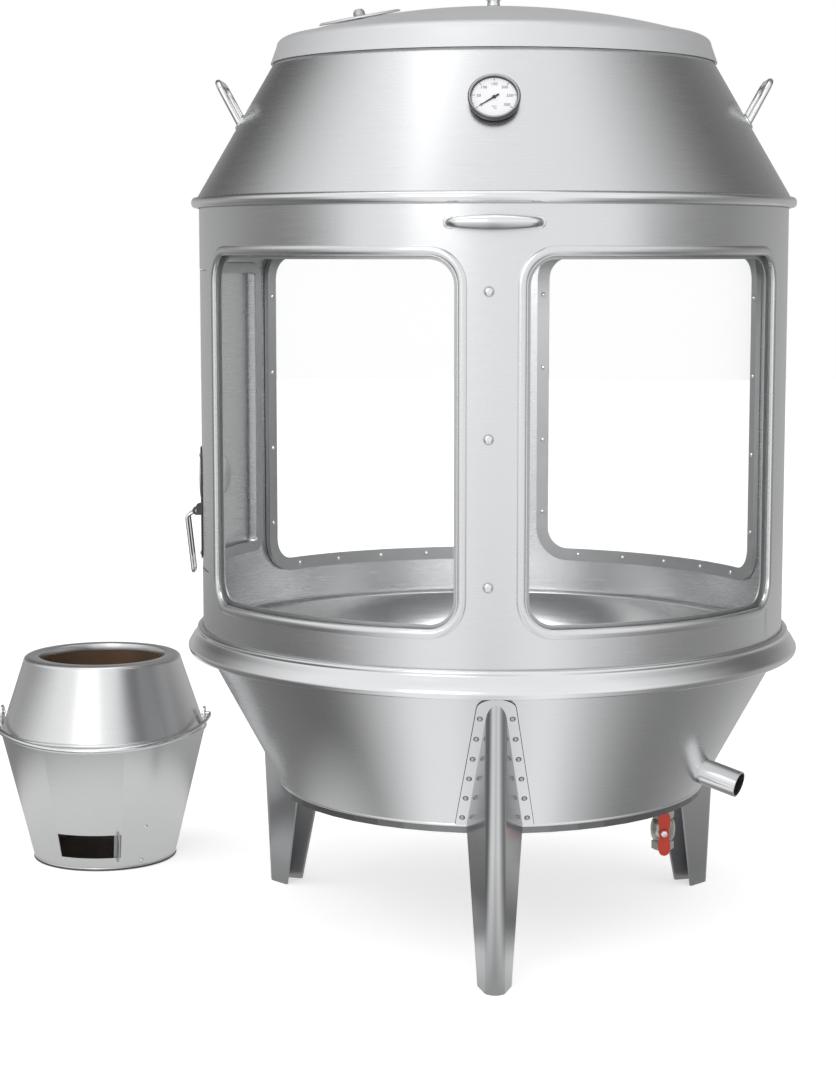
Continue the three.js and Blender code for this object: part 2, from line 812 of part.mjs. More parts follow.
function makeDoorPull() {
  const plate = drumPanel(pullPanel, 0, pullInner, pullOuter);
  let pull = plate.add(cupSolid(cupWall, pullInner - bodyRadius, cupDepth));
  pull = pull.subtract(cupSolid(0, overrun, cupDepth - cupWall));
  for (const side of [-1, 1]) {
    const reach = dropPivotOutset + lugHeight / 2;
    const centre = new THREE.Vector3(side * (dropHalfWidth + lugThickness), 0, reach / 2 + gap);
    let lug = block(lugThickness, lugHeight, reach, centre, dropFrame);
    const across = new THREE.Matrix4().makeRotationY(Math.PI / 2).setPosition(0, 0, dropPivotOutset);
    const bore = dropHalfWidth + 2 * lugThickness + overrun;
    const pinHole = roundBar(dropRodRadius + gap, -bore, bore, rodSides, dropFrame.clone().multiply(across));
    lug = lug.subtract(pinHole);
    pull = pull.add(lug);
  }
  return pull;
}

function makeDoorDrop() {
  const corner = (x, fall, outset) => new THREE.Vector3(x, -fall, outset).applyMatrix4(dropFrame);
  const pinEnd = dropHalfWidth + lugThickness * 1.5;
  const half = (side) => [
    corner(side * pinEnd, 0, dropPivotOutset),
    corner(side * (dropHalfWidth - dropRodRadius), 0, dropPivotOutset),
    corner(side * (dropHalfWidth - dropRodRadius), dropKneeFall, dropKneeOutset),
    corner(side * (dropHalfWidth - dropRodRadius), dropLength, dropLowOutset),
  ];
  const corners = [...half(-1), ...half(1).toReversed()];
  return rod(roundedPath(corners, dropRodRadius * 2, 2), dropRodRadius);
}

addPiece(oven, "side_door", makeDoor(), brushedSteel);
addPiece(oven, "door_frame", makeDoorFrame(), dullSteel);
addPiece(oven, "door_pull", makeDoorPull(), darkSteel);
addPiece(oven, "door_drop_handle", makeDoorDrop(), polishedSteel);

// Lift-off hinges: the drum's half carries the pin, the door's half drops over it
const hingeAzimuth = doorCentre - degrees(doorWidth / 2 / bodyRadius) - degrees(hingeOutset / bodyRadius);
const hingeRadius = bodyRadius + hingeOutset;

function hingeHalf(side, reach, height, barrelLow, barrelHigh) {
  const sweep = degrees(reach / bodyRadius);
  const rows = Array.from({ length: hingeColumns }, (_, step) => {
    const azimuth = hingeAzimuth + (side * sweep * step) / (hingeColumns - 1);
    return [-hingePlateHeight / 2, hingePlateHeight / 2].map((rise) => [
      onDrum(pullInner, azimuth, height + rise),
      onDrum(pullInner + hingePlateThickness, azimuth, height + rise),
    ]);
  });
  const barrel = roundBar(
    hingeBarrelRadius,
    barrelLow,
    barrelHigh,
    smallSides,
    surfaceFrame(hingeRadius, hingeAzimuth, height).multiply(new THREE.Matrix4().makeRotationX(-Math.PI / 2)),
  );
  return { plate: sheetSolid(rows), barrel };
}

function hingeBar(radius, height, low, high) {
  const upright = new THREE.Matrix4().makeRotationX(-Math.PI / 2);
  return roundBar(radius, low, high, smallSides, surfaceFrame(hingeRadius, hingeAzimuth, height).multiply(upright));
}

for (const [name, height] of [
  ["upper", doorTop - hingeInset],
  ["lower", doorBottom + hingeInset],
]) {
  const keepOut = (low, high) => hingeBar(hingeBarrelRadius + runningGap, height, low, high);
  const fixed = hingeHalf(-1, hingePlateReach, height, -hingeBarrelHeight, 0);
  const pin = hingeBar(hingePinRadius, height, -hingeBarrelHeight / 2, hingeBarrelHeight - runningGap);
  const fixedSolid = fixed.plate.subtract(keepOut(0, hingePlateHeight)).add(fixed.barrel).add(pin);
  addPiece(oven, "door_hinge_" + name, fixedSolid, polishedSteel);
  const moving = hingeHalf(1, hingeStrapReach, height, gap, hingeBarrelHeight);
  const pinHole = hingeBar(hingePinRadius + gap, height, -overrun, hingeBarrelHeight + overrun);
  const movingSolid = moving.plate.subtract(keepOut(-hingePlateHeight, 0)).add(moving.barrel).subtract(pinHole);
  addPiece(oven, "door_strap_" + name, movingSolid, polishedSteel);
}

// Front bar handle: a tube that swells in the middle, standing on two round bosses
function makeFrontHandle() {
  const frame = surfaceFrame(bodyRadius, barAzimuth, barHeight);
  const at = (x, outset) => new THREE.Vector3(x, 0, outset).applyMatrix4(frame);
  const corners = [
    at(-barHalfSpan, 0),
    at(-barHalfSpan, barStandOff),
    at(0, barStandOff + barMidRadius - barEndRadius),
    at(barHalfSpan, barStandOff),
    at(barHalfSpan, 0),
  ];
  const path = new THREE.CatmullRomCurve3(roundedPath(corners, barEndRadius * 2, 3)).getPoints(straightSteps * 2);
  const radii = path.map((point) => {
    const across = point.clone().applyMatrix4(frame.clone().invert()).x / barHalfSpan;
    return barEndRadius + (barMidRadius - barEndRadius) * Math.max(0, 1 - across * across);
  });
  let handle = rod(path, radii);
  for (const side of [-1, 1]) {
    const place = new THREE.Matrix4().makeTranslation(side * barHalfSpan, 0, 0);
    const back = -facetLoss(bodyRadius) * barBossRadius;
    handle = handle.add(roundBar(barBossRadius, back, barBossThickness, smallSides, frame.clone().multiply(place)));
  }
  const keepOut = revolve([
    [0, barHeight - barBossRadius * 2],
    [bodyRadius + gap, barHeight - barBossRadius * 2],
    [bodyRadius + gap, barHeight + barBossRadius * 2],
    [0, barHeight + barBossRadius * 2],
  ]);
  return handle.subtract(keepOut);
}
addPiece(oven, "front_handle", makeFrontHandle(), polishedSteel);

// Bowl and floor
const bowlFloorHigh = bowlBottom - gap;
const pipeMouthHeight = panGutterHeight - pipeMouthDrop;
const spoutDistance = panGutterRadius - coverSheet - spoutBore / 2;

// The oil pipe's route: down from under the pan's spout, then out through the bowl with a fall.
const pipePath = roundedPath(
  [
    onDrum(spoutDistance, pipeAzimuth, pipeMouthHeight),
    onDrum(spoutDistance, pipeAzimuth, pipeMouthHeight - pipeElbowDrop + pipeBend / 2),
    onDrum(pipeEndRadius, pipeAzimuth, pipeEndHeight),
  ],
  pipeBend,
  pipeBendSteps,
);

function stretched(path, reach) {
  const first = path[0].clone().sub(path[1]).setLength(reach).add(path[0]);
  const last = path.at(-1).clone().sub(path.at(-2)).setLength(reach).add(path.at(-1));
  return [first, ...path.slice(1, -1), last];
}

function makeBowl() {
  const shell = revolve([
    [bowlRadiusAt(bowlTop), bowlTop],
    [bowlRadiusAt(bowlTop) - drumSheet, bowlTop],
    [floorRadius - drumSheet, bowlBottom],
    [floorRadius, bowlBottom],
  ]);
  return shell.subtract(rod(pipePath, pipeRadius + gap, smallSides));
}

function makeFloor() {
  const plate = revolve([
    [0, bowlFloorHigh],
    [floorRadius, bowlFloorHigh],
    [floorRadius, bowlBottom - floorSkirt],
    [floorRadius - drumSheet, bowlBottom - floorSkirt],
    [floorRadius - drumSheet, bowlFloorHigh - drumSheet],
    [0, bowlFloorHigh - drumSheet],
  ]);
  const drain = new THREE.Matrix4().makeTranslation(valveX, valveY, 0);
  return plate.subtract(
    roundBar(nippleRadius + gap, bowlFloorHigh - overrun, bowlFloorHigh + overrun, smallSides, drain),
  );
}
addPiece(oven, "bowl", makeBowl(), brushedSteel);
addPiece(oven, "bowl_floor", makeFloor(), brushedSteel);

// Drip pan: hangs by its rim on the base ring's ledge. A funnel is welded to a gutter tray, which has a
// spout above the oil pipe and an upstand round the open middle.
function makePanFunnel() {
  const rimLow = bodyBottom;
  const slopeTop = panRimRadius - panRimWidth;
  const foot = panGutterHeight + coverSheet + gap;
  return revolve([
    [panRimRadius, rimLow + coverSheet],
    [panRimRadius, rimLow],
    [slopeTop, rimLow],
    [panGutterOuterRadius, foot],
    [panGutterOuterRadius - coverSheet, foot],
    [slopeTop, rimLow + coverSheet],
  ], hiddenSides);
}

function makePanUpstand() {
  const foot = panGutterHeight + coverSheet + gap;
  return revolve([
    [panInnerRadius - coverSheet, foot],
    [panUpstandRadius - coverSheet, panGutterHeight + panUpstand],
    [panUpstandRadius, panGutterHeight + panUpstand],
    [panInnerRadius, foot],
  ], hiddenSides);
}

function makePanGutter() {
  let tray = revolve([
    [panGutterOuterRadius, panGutterHeight],
    [panInnerRadius - coverSheet, panGutterHeight],
    [panInnerRadius - coverSheet, panGutterHeight + coverSheet],
    [panGutterOuterRadius, panGutterHeight + coverSheet],
  ], hiddenSides);
  const spoutCentre = onDrum(spoutDistance, pipeAzimuth, 0);
  const place = new THREE.Matrix4().makeTranslation(spoutCentre.x, spoutCentre.y, 0);
  const spoutTop = panGutterHeight + coverSheet / 2;
  tray = tray.add(roundBar(spoutRadius, panGutterHeight - spoutDrop, spoutTop, smallSides, place));
  return tray.subtract(
    roundBar(spoutBore, panGutterHeight - spoutDrop - overrun, spoutTop + overrun, smallSides, place),
  );
}

function makePipe() {
  const outside = rod(pipePath, pipeRadius, smallSides);
  return outside.subtract(rod(stretched(pipePath, pipeBend + overrun), pipeRadius - pipeWall, smallSides));
}
addPiece(oven, "drip_pan", makePanFunnel(), brushedSteel);
addPiece(oven, "pan_gutter", makePanGutter(), brushedSteel);
addPiece(oven, "pan_upstand", makePanUpstand(), brushedSteel);
addPiece(oven, "oil_pipe", makePipe(), polishedSteel);

// Drain valve: a nipple screwed through the floor, a ball valve and its butterfly lever
function valveSphere(radius) {
  return solidOf(new THREE.SphereGeometry(radius, tinySides, tinySides / 2).rotateX(Math.PI / 2));
}

function makeValve() {
  const valve = new THREE.Group();
  valve.position.set(valveX, valveY, valveHeight);
  const front = new THREE.Matrix4().makeRotationX(Math.PI / 2);
  const nippleLow = valveHalfLength - nippleSocket;
  const nippleHigh = bowlFloorHigh - valveHeight;
  const nutHigh = bowlFloorHigh - drumSheet - gap - valveHeight;
  const nipple = revolve(
    [
      [valveBore, nippleLow],
      [nippleRadius, nippleLow],
      [nippleRadius, nutHigh - nippleNutHeight],
      [nippleNutRadius, nutHigh - nippleNutHeight],
      [nippleNutRadius, nutHigh],
      [nippleRadius, nutHigh],
      [nippleRadius, nippleHigh],
      [valveBore, nippleHigh],
    ],
    smallSides,
  );
  addPiece(valve, "valve_nipple", nipple, valveBrass);

  const belly = valveHalfLength - valveEndLength;
  let body = revolve(
    [
      [valveBore, -valveHalfLength],
      [valveEndRadius, -valveHalfLength],
      [valveEndRadius, -belly],
      [valveBellyRadius, -belly / 2],
      [valveBellyRadius, belly / 2],
      [valveEndRadius, belly],
      [valveEndRadius, valveHalfLength],
      [valveBore, valveHalfLength],
    ],
    smallSides,
  );
  body = body.add(roundBar(valveNeckRadius, valveBore + overrun, valveNeckReach, smallSides, front));
  body = body.subtract(valveSphere((valveBallRadius + gap) / Math.cos(Math.PI / tinySides) ** 2));
  body = body.subtract(roundBar(valveStemRadius + gap, 0, valveNeckReach + overrun, smallSides, front));
  body = body.subtract(roundBar(nippleRadius + gap, nippleLow - gap, valveHalfLength + overrun));
  addPiece(valve, "valve_body", body, valveBrass);

  const ball = valveSphere(valveBallRadius);
  const stem = roundBar(valveStemRadius, valveBore + gap, valveStemReach, smallSides, front);
  const bore = roundBar(valveBore, -valveHalfLength, valveHalfLength);
  addPiece(valve, "valve_ball", ball.subtract(bore).add(stem), polishedSteel);

  const shape = new THREE.Shape();
  shape.moveTo(-leverWaist / 2, 0);
  for (const side of [1, -1]) {
    shape.bezierCurveTo(
      -side * leverWidth / 2,
      side * leverHalfLength / 2,
      -side * leverWidth / 2,
      side * leverHalfLength,
      0,
      side * leverHalfLength,
    );
    shape.bezierCurveTo(
      side * leverWidth / 2,
      side * leverHalfLength,
      side * leverWidth / 2,
      side * leverHalfLength / 2,
      side * leverWaist / 2,
      0,
    );
  }
  const plate = new THREE.ExtrudeGeometry(shape, {
    depth: leverThickness,
    bevelEnabled: false,
    curveSegments: cornerSteps,
  }).translate(0, 0, valveStemReach);
  plate.rotateX(Math.PI / 2);
  let lever = solidOf(plate);
  const hubLow = valveNeckReach + gap;
  lever = lever.add(roundBar(leverHubRadius, hubLow, valveStemReach + leverHubHeight, smallSides, front));
  const socketTop = valveStemReach + gap;
  lever = lever.subtract(roundBar(valveStemRadius + gap, hubLow - overrun, socketTop, smallSides, front));
  addPiece(valve, "valve_lever", lever, leverRed);
  return valve;
}
oven.add(makeValve());

// Legs: a channel with a round nose, cut to the bowl's slope, and a flange that lies on the bowl
function legSection(noseRadius, back, height, inset) {
  const centre = noseRadius - legNoseRadius;
  const round = legNoseRadius - inset;
  const flare = radians(legFlare);
  const points = [];
  for (let step = 0; step <= legNoseSteps; step++) {
    const turn = (Math.PI / 2 - flare) * ((2 * step) / legNoseSteps - 1);
    points.push([round * Math.sin(turn), centre + round * Math.cos(turn)]);
  }
  const depth = points[0][1] - back;
  const wide = points.at(-1)[0] + depth * Math.tan(flare);
  return [[-wide, back], ...points, [wide, back]].map(([x, y]) => new THREE.Vector3(x, -y, height));
}

function makeLeg() {
  const share = bowlBottom / legTop;
  const noseAtBowl = legFootRadius + (legTopRadius - legFootRadius) * share;
  const sections = (inset, extra) => [
    legSection(legFootRadius - (legTopRadius - legFootRadius) * (extra / legTop), legFootBack, -extra, inset),
    legSection(noseAtBowl, legBowlBack, bowlBottom, inset),
    legSection(legTopRadius, legBowlBack, legTop, inset),
  ];
  const inner = sections(legSheet, 0).map((section, level) => {
    const drop = [overrun, 0, -overrun][level];
    return section.map((point, k) => {
      const atBack = k === 0 || k === section.length - 1;
      const moved = point.clone().setZ(point.z - drop);
      return atBack ? moved.add(new THREE.Vector3(0, overrun, 0)) : moved;
    });
  });
  let channel = loft(sections(0, 0)).subtract(loft(inner));
  const columns = Array.from({ length: flangeColumns + 1 }, (_, column) => (2 * column) / flangeColumns - 1);
  const roundLow = flangeTop - flangeRoundHeight;
  const rows = [{ height: flangeBottom, half: flangeBottomHalfWidth }];
  for (let step = 0; step < flangeRoundSteps; step++) {
    const turn = ((step / flangeRoundSteps) * Math.PI) / 2;
    rows.push({
      height: roundLow + flangeRoundHeight * Math.sin(turn),
      half: flangeTopHalfWidth * Math.cos(turn),
    });
  }
  const flange = sheetSolid(
    rows.map(({ height, half }) => {
      const inner = bowlRadiusAt(height) + gap;
      const spread = degrees(half / inner);
      return columns.map((share) => [
        onDrum(inner, spread * share, height),
        onDrum(inner + flangeSheet, spread * share, height),
      ]);
    }),
  );
  const bowlSpace = revolve([
    [0, bowlBottom - floorSkirt - gap],
    [floorRadius + gap, bowlBottom - floorSkirt - gap],
    [floorRadius + gap, bowlBottom],
    [bowlRadiusAt(bowlTop) + gap, bowlTop],
    [0, bowlTop],
  ], drumSides, new THREE.Matrix4().makeRotationZ(-radians(legAzimuth)));
  return channel.add(flange).subtract(bowlSpace);
}

const legNames = ["leg_front", "leg_rear_right", "leg_rear_left"];
for (let copy = 0; copy < legCount; copy++) {
  const turned = new THREE.Group();
  turned.rotation.z = radians(legAzimuth + (360 / legCount) * copy);
  addPiece(turned, legNames[copy], makeLeg(), brushedSteel);
  oven.add(turned);
}

// Hood: a plain cone with a foot flange on the top ring and a collar that centres it
const collarRadius = topRingInnerRadius - gap;
const lidDomeHeight = lidShoulderHeight + lidRoundRise;

// Height of the lid's upper face at a distance from its axis.
function lidHeightAt(radius) {
  if (radius > lidRoundCentre) {
    const share = (radius - lidRoundCentre) / lidRoundWidth;
    return lidShoulderHeight + lidRoundRise * Math.sqrt(Math.max(0, 1 - share * share));
  }
  const share = radius / lidRoundCentre;
  return lidDomeHeight + lidDomeRise * (1 - share * share);
}

// The lid's section: its upper face from the rim to the middle, and its underside one sheet below.
const lidUpper = [[lidRimRadius, lidRimHeight], [lidShoulderRadius, lidShoulderHeight]];
for (let step = 1; step <= lidRoundSteps; step++) {
  const turn = ((step / lidRoundSteps) * Math.PI) / 2;
  lidUpper.push([
    lidRoundCentre + lidRoundWidth * Math.cos(turn),
    lidShoulderHeight + lidRoundRise * Math.sin(turn),
  ]);
}
for (let step = 1; step <= lidDomeSteps; step++) {
  const radius = lidRoundCentre * (1 - step / lidDomeSteps);
  lidUpper.push([radius, lidHeightAt(radius)]);
}
const lidUnder = lidUpper.map(([radius, height]) => {
  const onSkirt = radius > lidShoulderRadius - gap;
  return onSkirt ? [radius - coverSheet, height] : [radius, height - coverSheet];
});

function lidUnderAt(radius) {
  const reached = lidUnder.findIndex(([edge]) => edge <= radius);
  const next = reached < 0 ? lidUnder.length - 1 : Math.max(1, reached);
  const [[r0, z0], [r1, z1]] = lidUnder.slice(next - 1, next + 1);
  return z0 + ((z1 - z0) * (radius - r0)) / (r1 - r0);
}

// The hood ends just under the lid, so the lid rests on its edge.
function findHoodTop() {
  let low = lidRimHeight;
  let high = lidDomeHeight;
  for (let step = 0; step < drumSides; step++) {
    const middle = (low + high) / 2;
    if (lidUnderAt(hoodRadiusAt(middle)) - gap > middle) low = middle;
    else high = middle;
  }
  return low;
}
const hoodTop = findHoodTop();
const thermometerFrame = surfaceFrame(
  hoodRadiusAt(thermometerHeight),
  thermometerAzimuth,
  thermometerHeight,
  degrees(Math.atan(hoodSlope)),
);

function makeHood() {
  const footInner = hoodRadiusAt(hoodBottom) - hoodFootWidth;
  const wall = coverSheet * Math.hypot(1, hoodSlope);
  const collarInner = collarRadius - coverSheet;
  const hood = revolve([
    [hoodRadiusAt(hoodBottom), hoodBottom],
    [hoodRadiusAt(hoodTop), hoodTop],
    [hoodRadiusAt(hoodTop) - wall, hoodTop],
    [footInner, hoodBottom + (hoodFootWidth - wall) / hoodSlope],
    [collarInner, hoodBottom + coverSheet],
    [collarInner, hoodBottom - collarDepth],
    [collarRadius, hoodBottom - collarDepth],
    [collarRadius, hoodBottom],
  ]);
  return hood.subtract(roundBar(probeRadius + gap, -overrun * 2, overrun * 2, smallSides, thermometerFrame));
}
addPiece(oven, "hood", makeHood(), brushedSteel);

// Hood handles: bent rods on round pads, standing up and away from the cone
function makeHoodHandle(azimuth) {
  const foot = surfaceFrame(hoodRadiusAt(handleFootHeight), azimuth, handleFootHeight);
  const at = (x, up, out) => new THREE.Vector3(x, up, out).applyMatrix4(foot);
  const corners = [-1, 1].map((side) => [
    at(side * handleHalfWidth, -handleReachUp / 8, -handleReachOut / 8),
    at(side * handleHalfWidth, handleReachUp, handleReachOut),
  ]);
  const path = roundedPath([...corners[0], ...corners[1].toReversed()], handleCornerRadius, 4);
  let handle = rod(path, handleRodRadius);
  for (const side of [-1, 1]) {
    const turn = degrees((side * handleHalfWidth) / hoodRadiusAt(handleFootHeight));
    const lean = degrees(Math.atan(hoodSlope));
    const seat = surfaceFrame(hoodRadiusAt(handleFootHeight), azimuth + turn, handleFootHeight, lean);
    handle = handle.add(roundBar(handlePadRadius, -handlePadThickness, handlePadThickness, smallSides, seat));
  }
  const keepOut = revolve([
    [0, hoodBottom],
    [hoodRadiusAt(hoodBottom) + gap, hoodBottom],
    [hoodRadiusAt(hoodTop) + gap, hoodTop],
    [0, hoodTop],
  ]);
  return handle.subtract(keepOut);
}
addPiece(oven, "hood_handle_left", makeHoodHandle(-handleAzimuth), polishedSteel);
addPiece(oven, "hood_handle_right", makeHoodHandle(handleAzimuth), polishedSteel);

// Thermometer: case with rolled bezel, dial, needle, lens, and a probe through the hood
function makeThermometer() {
  const thermometer = new THREE.Group();
  thermometerFrame.decompose(thermometer.position, thermometer.quaternion, thermometer.scale);
  const caseBack = gap * 3;
  const dialLow = caseBack + (caseDepth - caseBack) * dialDepthShare - dialThickness;
  const dialHigh = dialLow + dialThickness;
  const cavityRadius = caseRadius - caseWall;
  const lensLow = caseDepth - bezelLip / 2 - lensThickness;
  const shell = revolve(
    [
      [probeRadius + gap, caseBack],
      [caseRadius - bezelLip / 2, caseBack],
      [caseRadius, caseDepth / 2],
      [caseRadius, caseDepth - bezelLip / 2],
      [caseRadius - bezelLip / 2, caseDepth],
      [cavityRadius - bezelLip / 2, caseDepth],
      [cavityRadius - bezelLip / 2, caseDepth - bezelLip / 2],
      [cavityRadius, caseDepth - bezelLip / 2],
      [cavityRadius, caseBack + caseWall],
      [probeRadius + gap, caseBack + caseWall],
    ],
    dialSides,
  );
  addPiece(thermometer, "thermometer_case", shell, darkSteel);
  const dial = revolve(
    [
      [probeRadius / 2 + gap, dialLow],
      [cavityRadius - gap, dialLow],
      [cavityRadius - gap, dialHigh],
      [probeRadius / 2 + gap, dialHigh],
    ],
    dialSides,
  );
  addPiece(thermometer, "thermometer_dial", dial, dialWhite);
  const needleLow = dialHigh + gap;
  const outline = new THREE.Shape();
  outline.moveTo(-needleWidth / 2, -needleTail);
  outline.lineTo(needleWidth / 2, -needleTail);
  outline.lineTo(needleTipWidth / 2, needleLength);
  outline.lineTo(-needleTipWidth / 2, needleLength);
  const blade = new THREE.ExtrudeGeometry(outline, { depth: needleThickness, bevelEnabled: false });
  blade.translate(0, 0, needleLow).rotateZ(radians(needleRestTurn));
  const hub = roundBar(needleHubRadius, needleLow, needleLow + needleThickness * 2);
  addPiece(thermometer, "thermometer_needle", solidOf(blade).add(hub), needleBlack);
  const lens = roundBar(cavityRadius - gap, lensLow, lensLow + lensThickness, dialSides);
  addPiece(thermometer, "thermometer_lens", lens, clearGlass);
  const probe = roundBar(probeRadius, -probeLength, dialLow - gap)
    .add(roundBar(probeRadius / 2, dialLow - gap * 2, dialHigh))
    .add(roundBar(probeNutRadius, -probeNutThickness * 2, -probeNutThickness, 6));
  addPiece(thermometer, "thermometer_probe", probe, polishedSteel);
  return thermometer;
}
oven.add(makeThermometer());

// Lid: a rim ring with a skirt that drops over the hood's edge and a round shoulder, and a low dome in it
const ventTilt = 90 - degrees(Math.atan((2 * lidDomeRise * ventDistance) / lidRoundCentre ** 2));
const ventFrame = surfaceFrame(ventDistance, ventAzimuth, lidHeightAt(ventDistance), ventTilt);

function ventHoles(solid, turn, low, high) {
  let pierced = solid;
  for (let copy = 0; copy < ventHoleCount; copy++) {
    const place = new THREE.Matrix4()
      .makeRotationZ(turn + (2 * Math.PI * copy) / ventHoleCount)
      .multiply(new THREE.Matrix4().makeTranslation(ventHoleDistance, 0, 0));
    pierced = pierced.subtract(roundBar(ventHoleRadius, low, high, rodSides, ventFrame.clone().multiply(place)));
  }
  return pierced;
}

const lidSeam = 1 + lidRoundSteps;

// The lid's rim ring: the skirt and the round shoulder, up to the seam with the dome.
function makeLidRim() {
  return revolve([...lidUpper.slice(0, lidSeam + 1), ...lidUnder.slice(0, lidSeam + 1).toReversed()]);
}

function makeLid() {
  const dome = [...lidUpper.slice(lidSeam), ...lidUnder.slice(lidSeam).toReversed()];
  let lid = revolve(dome.map(([radius, height]) => [Math.min(radius, lidRoundCentre - gap), height]));
  lid = ventHoles(lid, Math.PI / ventHoleCount, -overrun * 2, overrun * 2);
  lid = lid.subtract(roundBar(ventPinRadius + gap, -overrun * 2, overrun * 2, smallSides, ventFrame));
  return lid.subtract(roundBar(knobScrewRadius + gap, lidDomeHeight, lidHeightAt(0) + overrun));
}
addPiece(oven, "dome_lid", makeLid(), brushedSteel);
addPiece(oven, "lid_rim", makeLidRim(), brushedSteel);

function makeLidKnob() {
  const base = lidHeightAt(0) + gap;
  const stemTop = base + knobStemHeight;
  const top = stemTop + knobHeadHeight;
  return revolve(
    [
      [0, base - coverSheet * 3],
      [knobScrewRadius, base - coverSheet * 3],
      [knobScrewRadius, base],
      [knobHeadRadius * 0.9, base],
      [knobStemRadius, base + knobStemHeight / 3],
      [knobStemRadius, stemTop],
      [knobHeadRadius, stemTop + knobHeadHeight * 0.3],
      [knobHeadRadius, stemTop + knobHeadHeight * 0.7],
      [knobHeadRadius * 0.6, top],
      [0, top],
    ],
    smallSides,
  );
}
addPiece(oven, "lid_knob", makeLidKnob(), polishedSteel);

// Vent cover: a pierced disc on a pin through the lid, turned by its knob to open the vent
const ventLow = ventRise;
const ventDisc = revolve(
  [
    [ventPinRadius + gap, ventLow],
    [ventRadius - ventThickness, ventLow],
    [ventRadius, ventLow - ventThickness / 2],
    [ventRadius, ventLow + ventThickness / 2],
    [ventRadius - ventThickness, ventLow + ventThickness],
    [ventPinRadius + gap, ventLow + ventThickness],
  ],
  smallSides,
  ventFrame,
);
addPiece(oven, "vent_cover", ventHoles(ventDisc, 0, -overrun, overrun * 2), brushedSteel);
const ventKnob = revolve(
  [
    [0, -ventPinDrop - ventThickness],
    [ventWasherRadius, -ventPinDrop - ventThickness],
    [ventWasherRadius, -ventPinDrop],
    [ventPinRadius, -ventPinDrop],
    [ventPinRadius, ventLow + ventThickness + gap],
    [ventKnobRadius, ventLow + ventThickness + gap],
    [ventKnobRadius, ventLow + ventThickness + ventKnobHeight / 2],
    [ventKnobRadius / 2, ventLow + ventThickness + ventKnobHeight],
    [0, ventLow + ventThickness + ventKnobHeight],
  ],
  smallSides,
  ventFrame,
);
addPiece(oven, "vent_knob", ventKnob, darkSteel);

// Hanger: a folded bar across the drum, a headed shaft through it, and a spoked ring that turns
function makeBridge() {
  const outline = new THREE.Shape();
  outline.moveTo(-bridgeWidth / 2, -bridgeLipHeight);
  outline.lineTo(-bridgeWidth / 2 + coverSheet, -bridgeLipHeight);
  outline.lineTo(-bridgeWidth / 2 + coverSheet, 0);
  outline.lineTo(bridgeWidth / 2 - coverSheet, 0);
  outline.lineTo(bridgeWidth / 2 - coverSheet, -bridgeLipHeight);
  outline.lineTo(bridgeWidth / 2, -bridgeLipHeight);
  outline.lineTo(bridgeWidth / 2, bridgeThickness);
  outline.lineTo(-bridgeWidth / 2, bridgeThickness);
  const length = 2 * Math.sqrt(insideDrum ** 2 - (bridgeWidth / 2) ** 2);
  const bar = new THREE.ExtrudeGeometry(outline, { depth: length, bevelEnabled: false });
  bar.translate(0, 0, -length / 2).rotateX(Math.PI / 2).rotateZ(Math.PI / 2).translate(0, 0, bridgeHeight);
  return solidOf(bar).subtract(
    roundBar(shaftRadius + gap, bridgeHeight - overrun, bridgeHeight + bridgeThickness + overrun),
  );
}

const hubHigh = bridgeHeight - bridgeLipHeight - runningGap;
const hubLow = hubHigh - hubHeight;

function makeShaft() {
  const headLow = bridgeHeight + bridgeThickness + gap;
  return revolve(
    [
      [0, headLow + shaftHeadHeight],
      [shaftHeadRadius, headLow + shaftHeadHeight],
      [shaftHeadRadius, headLow],
      [shaftRadius, headLow],
      [shaftRadius, hubLow - gap],
      [shaftHeadRadius, hubLow - gap],
      [shaftHeadRadius, hubLow - gap - shaftHeadHeight],
      [0, hubLow - gap - shaftHeadHeight],
    ],
    smallSides,
  );
}

function makeHangingRing() {
  let ring = revolve(
    [
      [shaftRadius + gap, hubLow],
      [hubRadius, hubLow],
      [hubRadius, hubHigh],
      [shaftRadius + gap, hubHigh],
    ],
    smallSides,
  );
  const middle = (hubLow + hubHigh) / 2;
  for (const radius of [hangInnerRadius, hangRingRadius]) {
    ring = ring.add(
      revolve([
        [radius - hangRodRadius / 2, middle - hangBandHeight / 2],
        [radius + hangRodRadius / 2, middle - hangBandHeight / 2],
        [radius + hangRodRadius / 2, middle + hangBandHeight / 2],
        [radius - hangRodRadius / 2, middle + hangBandHeight / 2],
      ], hiddenSides),
    );
  }
  for (let copy = 0; copy < hangArmCount; copy++) {
    const azimuth = (360 / hangArmCount) * (copy + 0.5);
    ring = ring.add(
      rod(
        [onDrum(hubRadius - hangRodRadius, azimuth, middle), onDrum(hangRingRadius, azimuth, middle)],
        hangRodRadius,
      ),
    );
  }
  return ring;
}
addPiece(oven, "hanger_bridge", makeBridge(), dullSteel);
addPiece(oven, "hanger_shaft", makeShaft(), polishedSteel);
addPiece(oven, "hanging_ring", makeHangingRing(), polishedSteel);

// Fire pot: a tapered bucket, a cone cover with a folded mouth, a clay liner and a grate
const bucketTop = potRimHeight - gap / 2;
const potRadiusAt = (height) => potBottomRadius + ((potRimRadius - potBottomRadius) * height) / potRimHeight;

function potPanel(low, high, from, to, innerOffset, outerOffset) {
  const rows = Array.from({ length: straightSteps }, (_, step) => {
    const azimuth = from + ((to - from) * step) / (straightSteps - 1);
    return [low, high].map((height) => [
      onDrum(potRadiusAt(height) + innerOffset, azimuth, height),
      onDrum(potRadiusAt(height) + outerOffset, azimuth, height),
    ]);
  });
  return sheetSolid(rows);
}

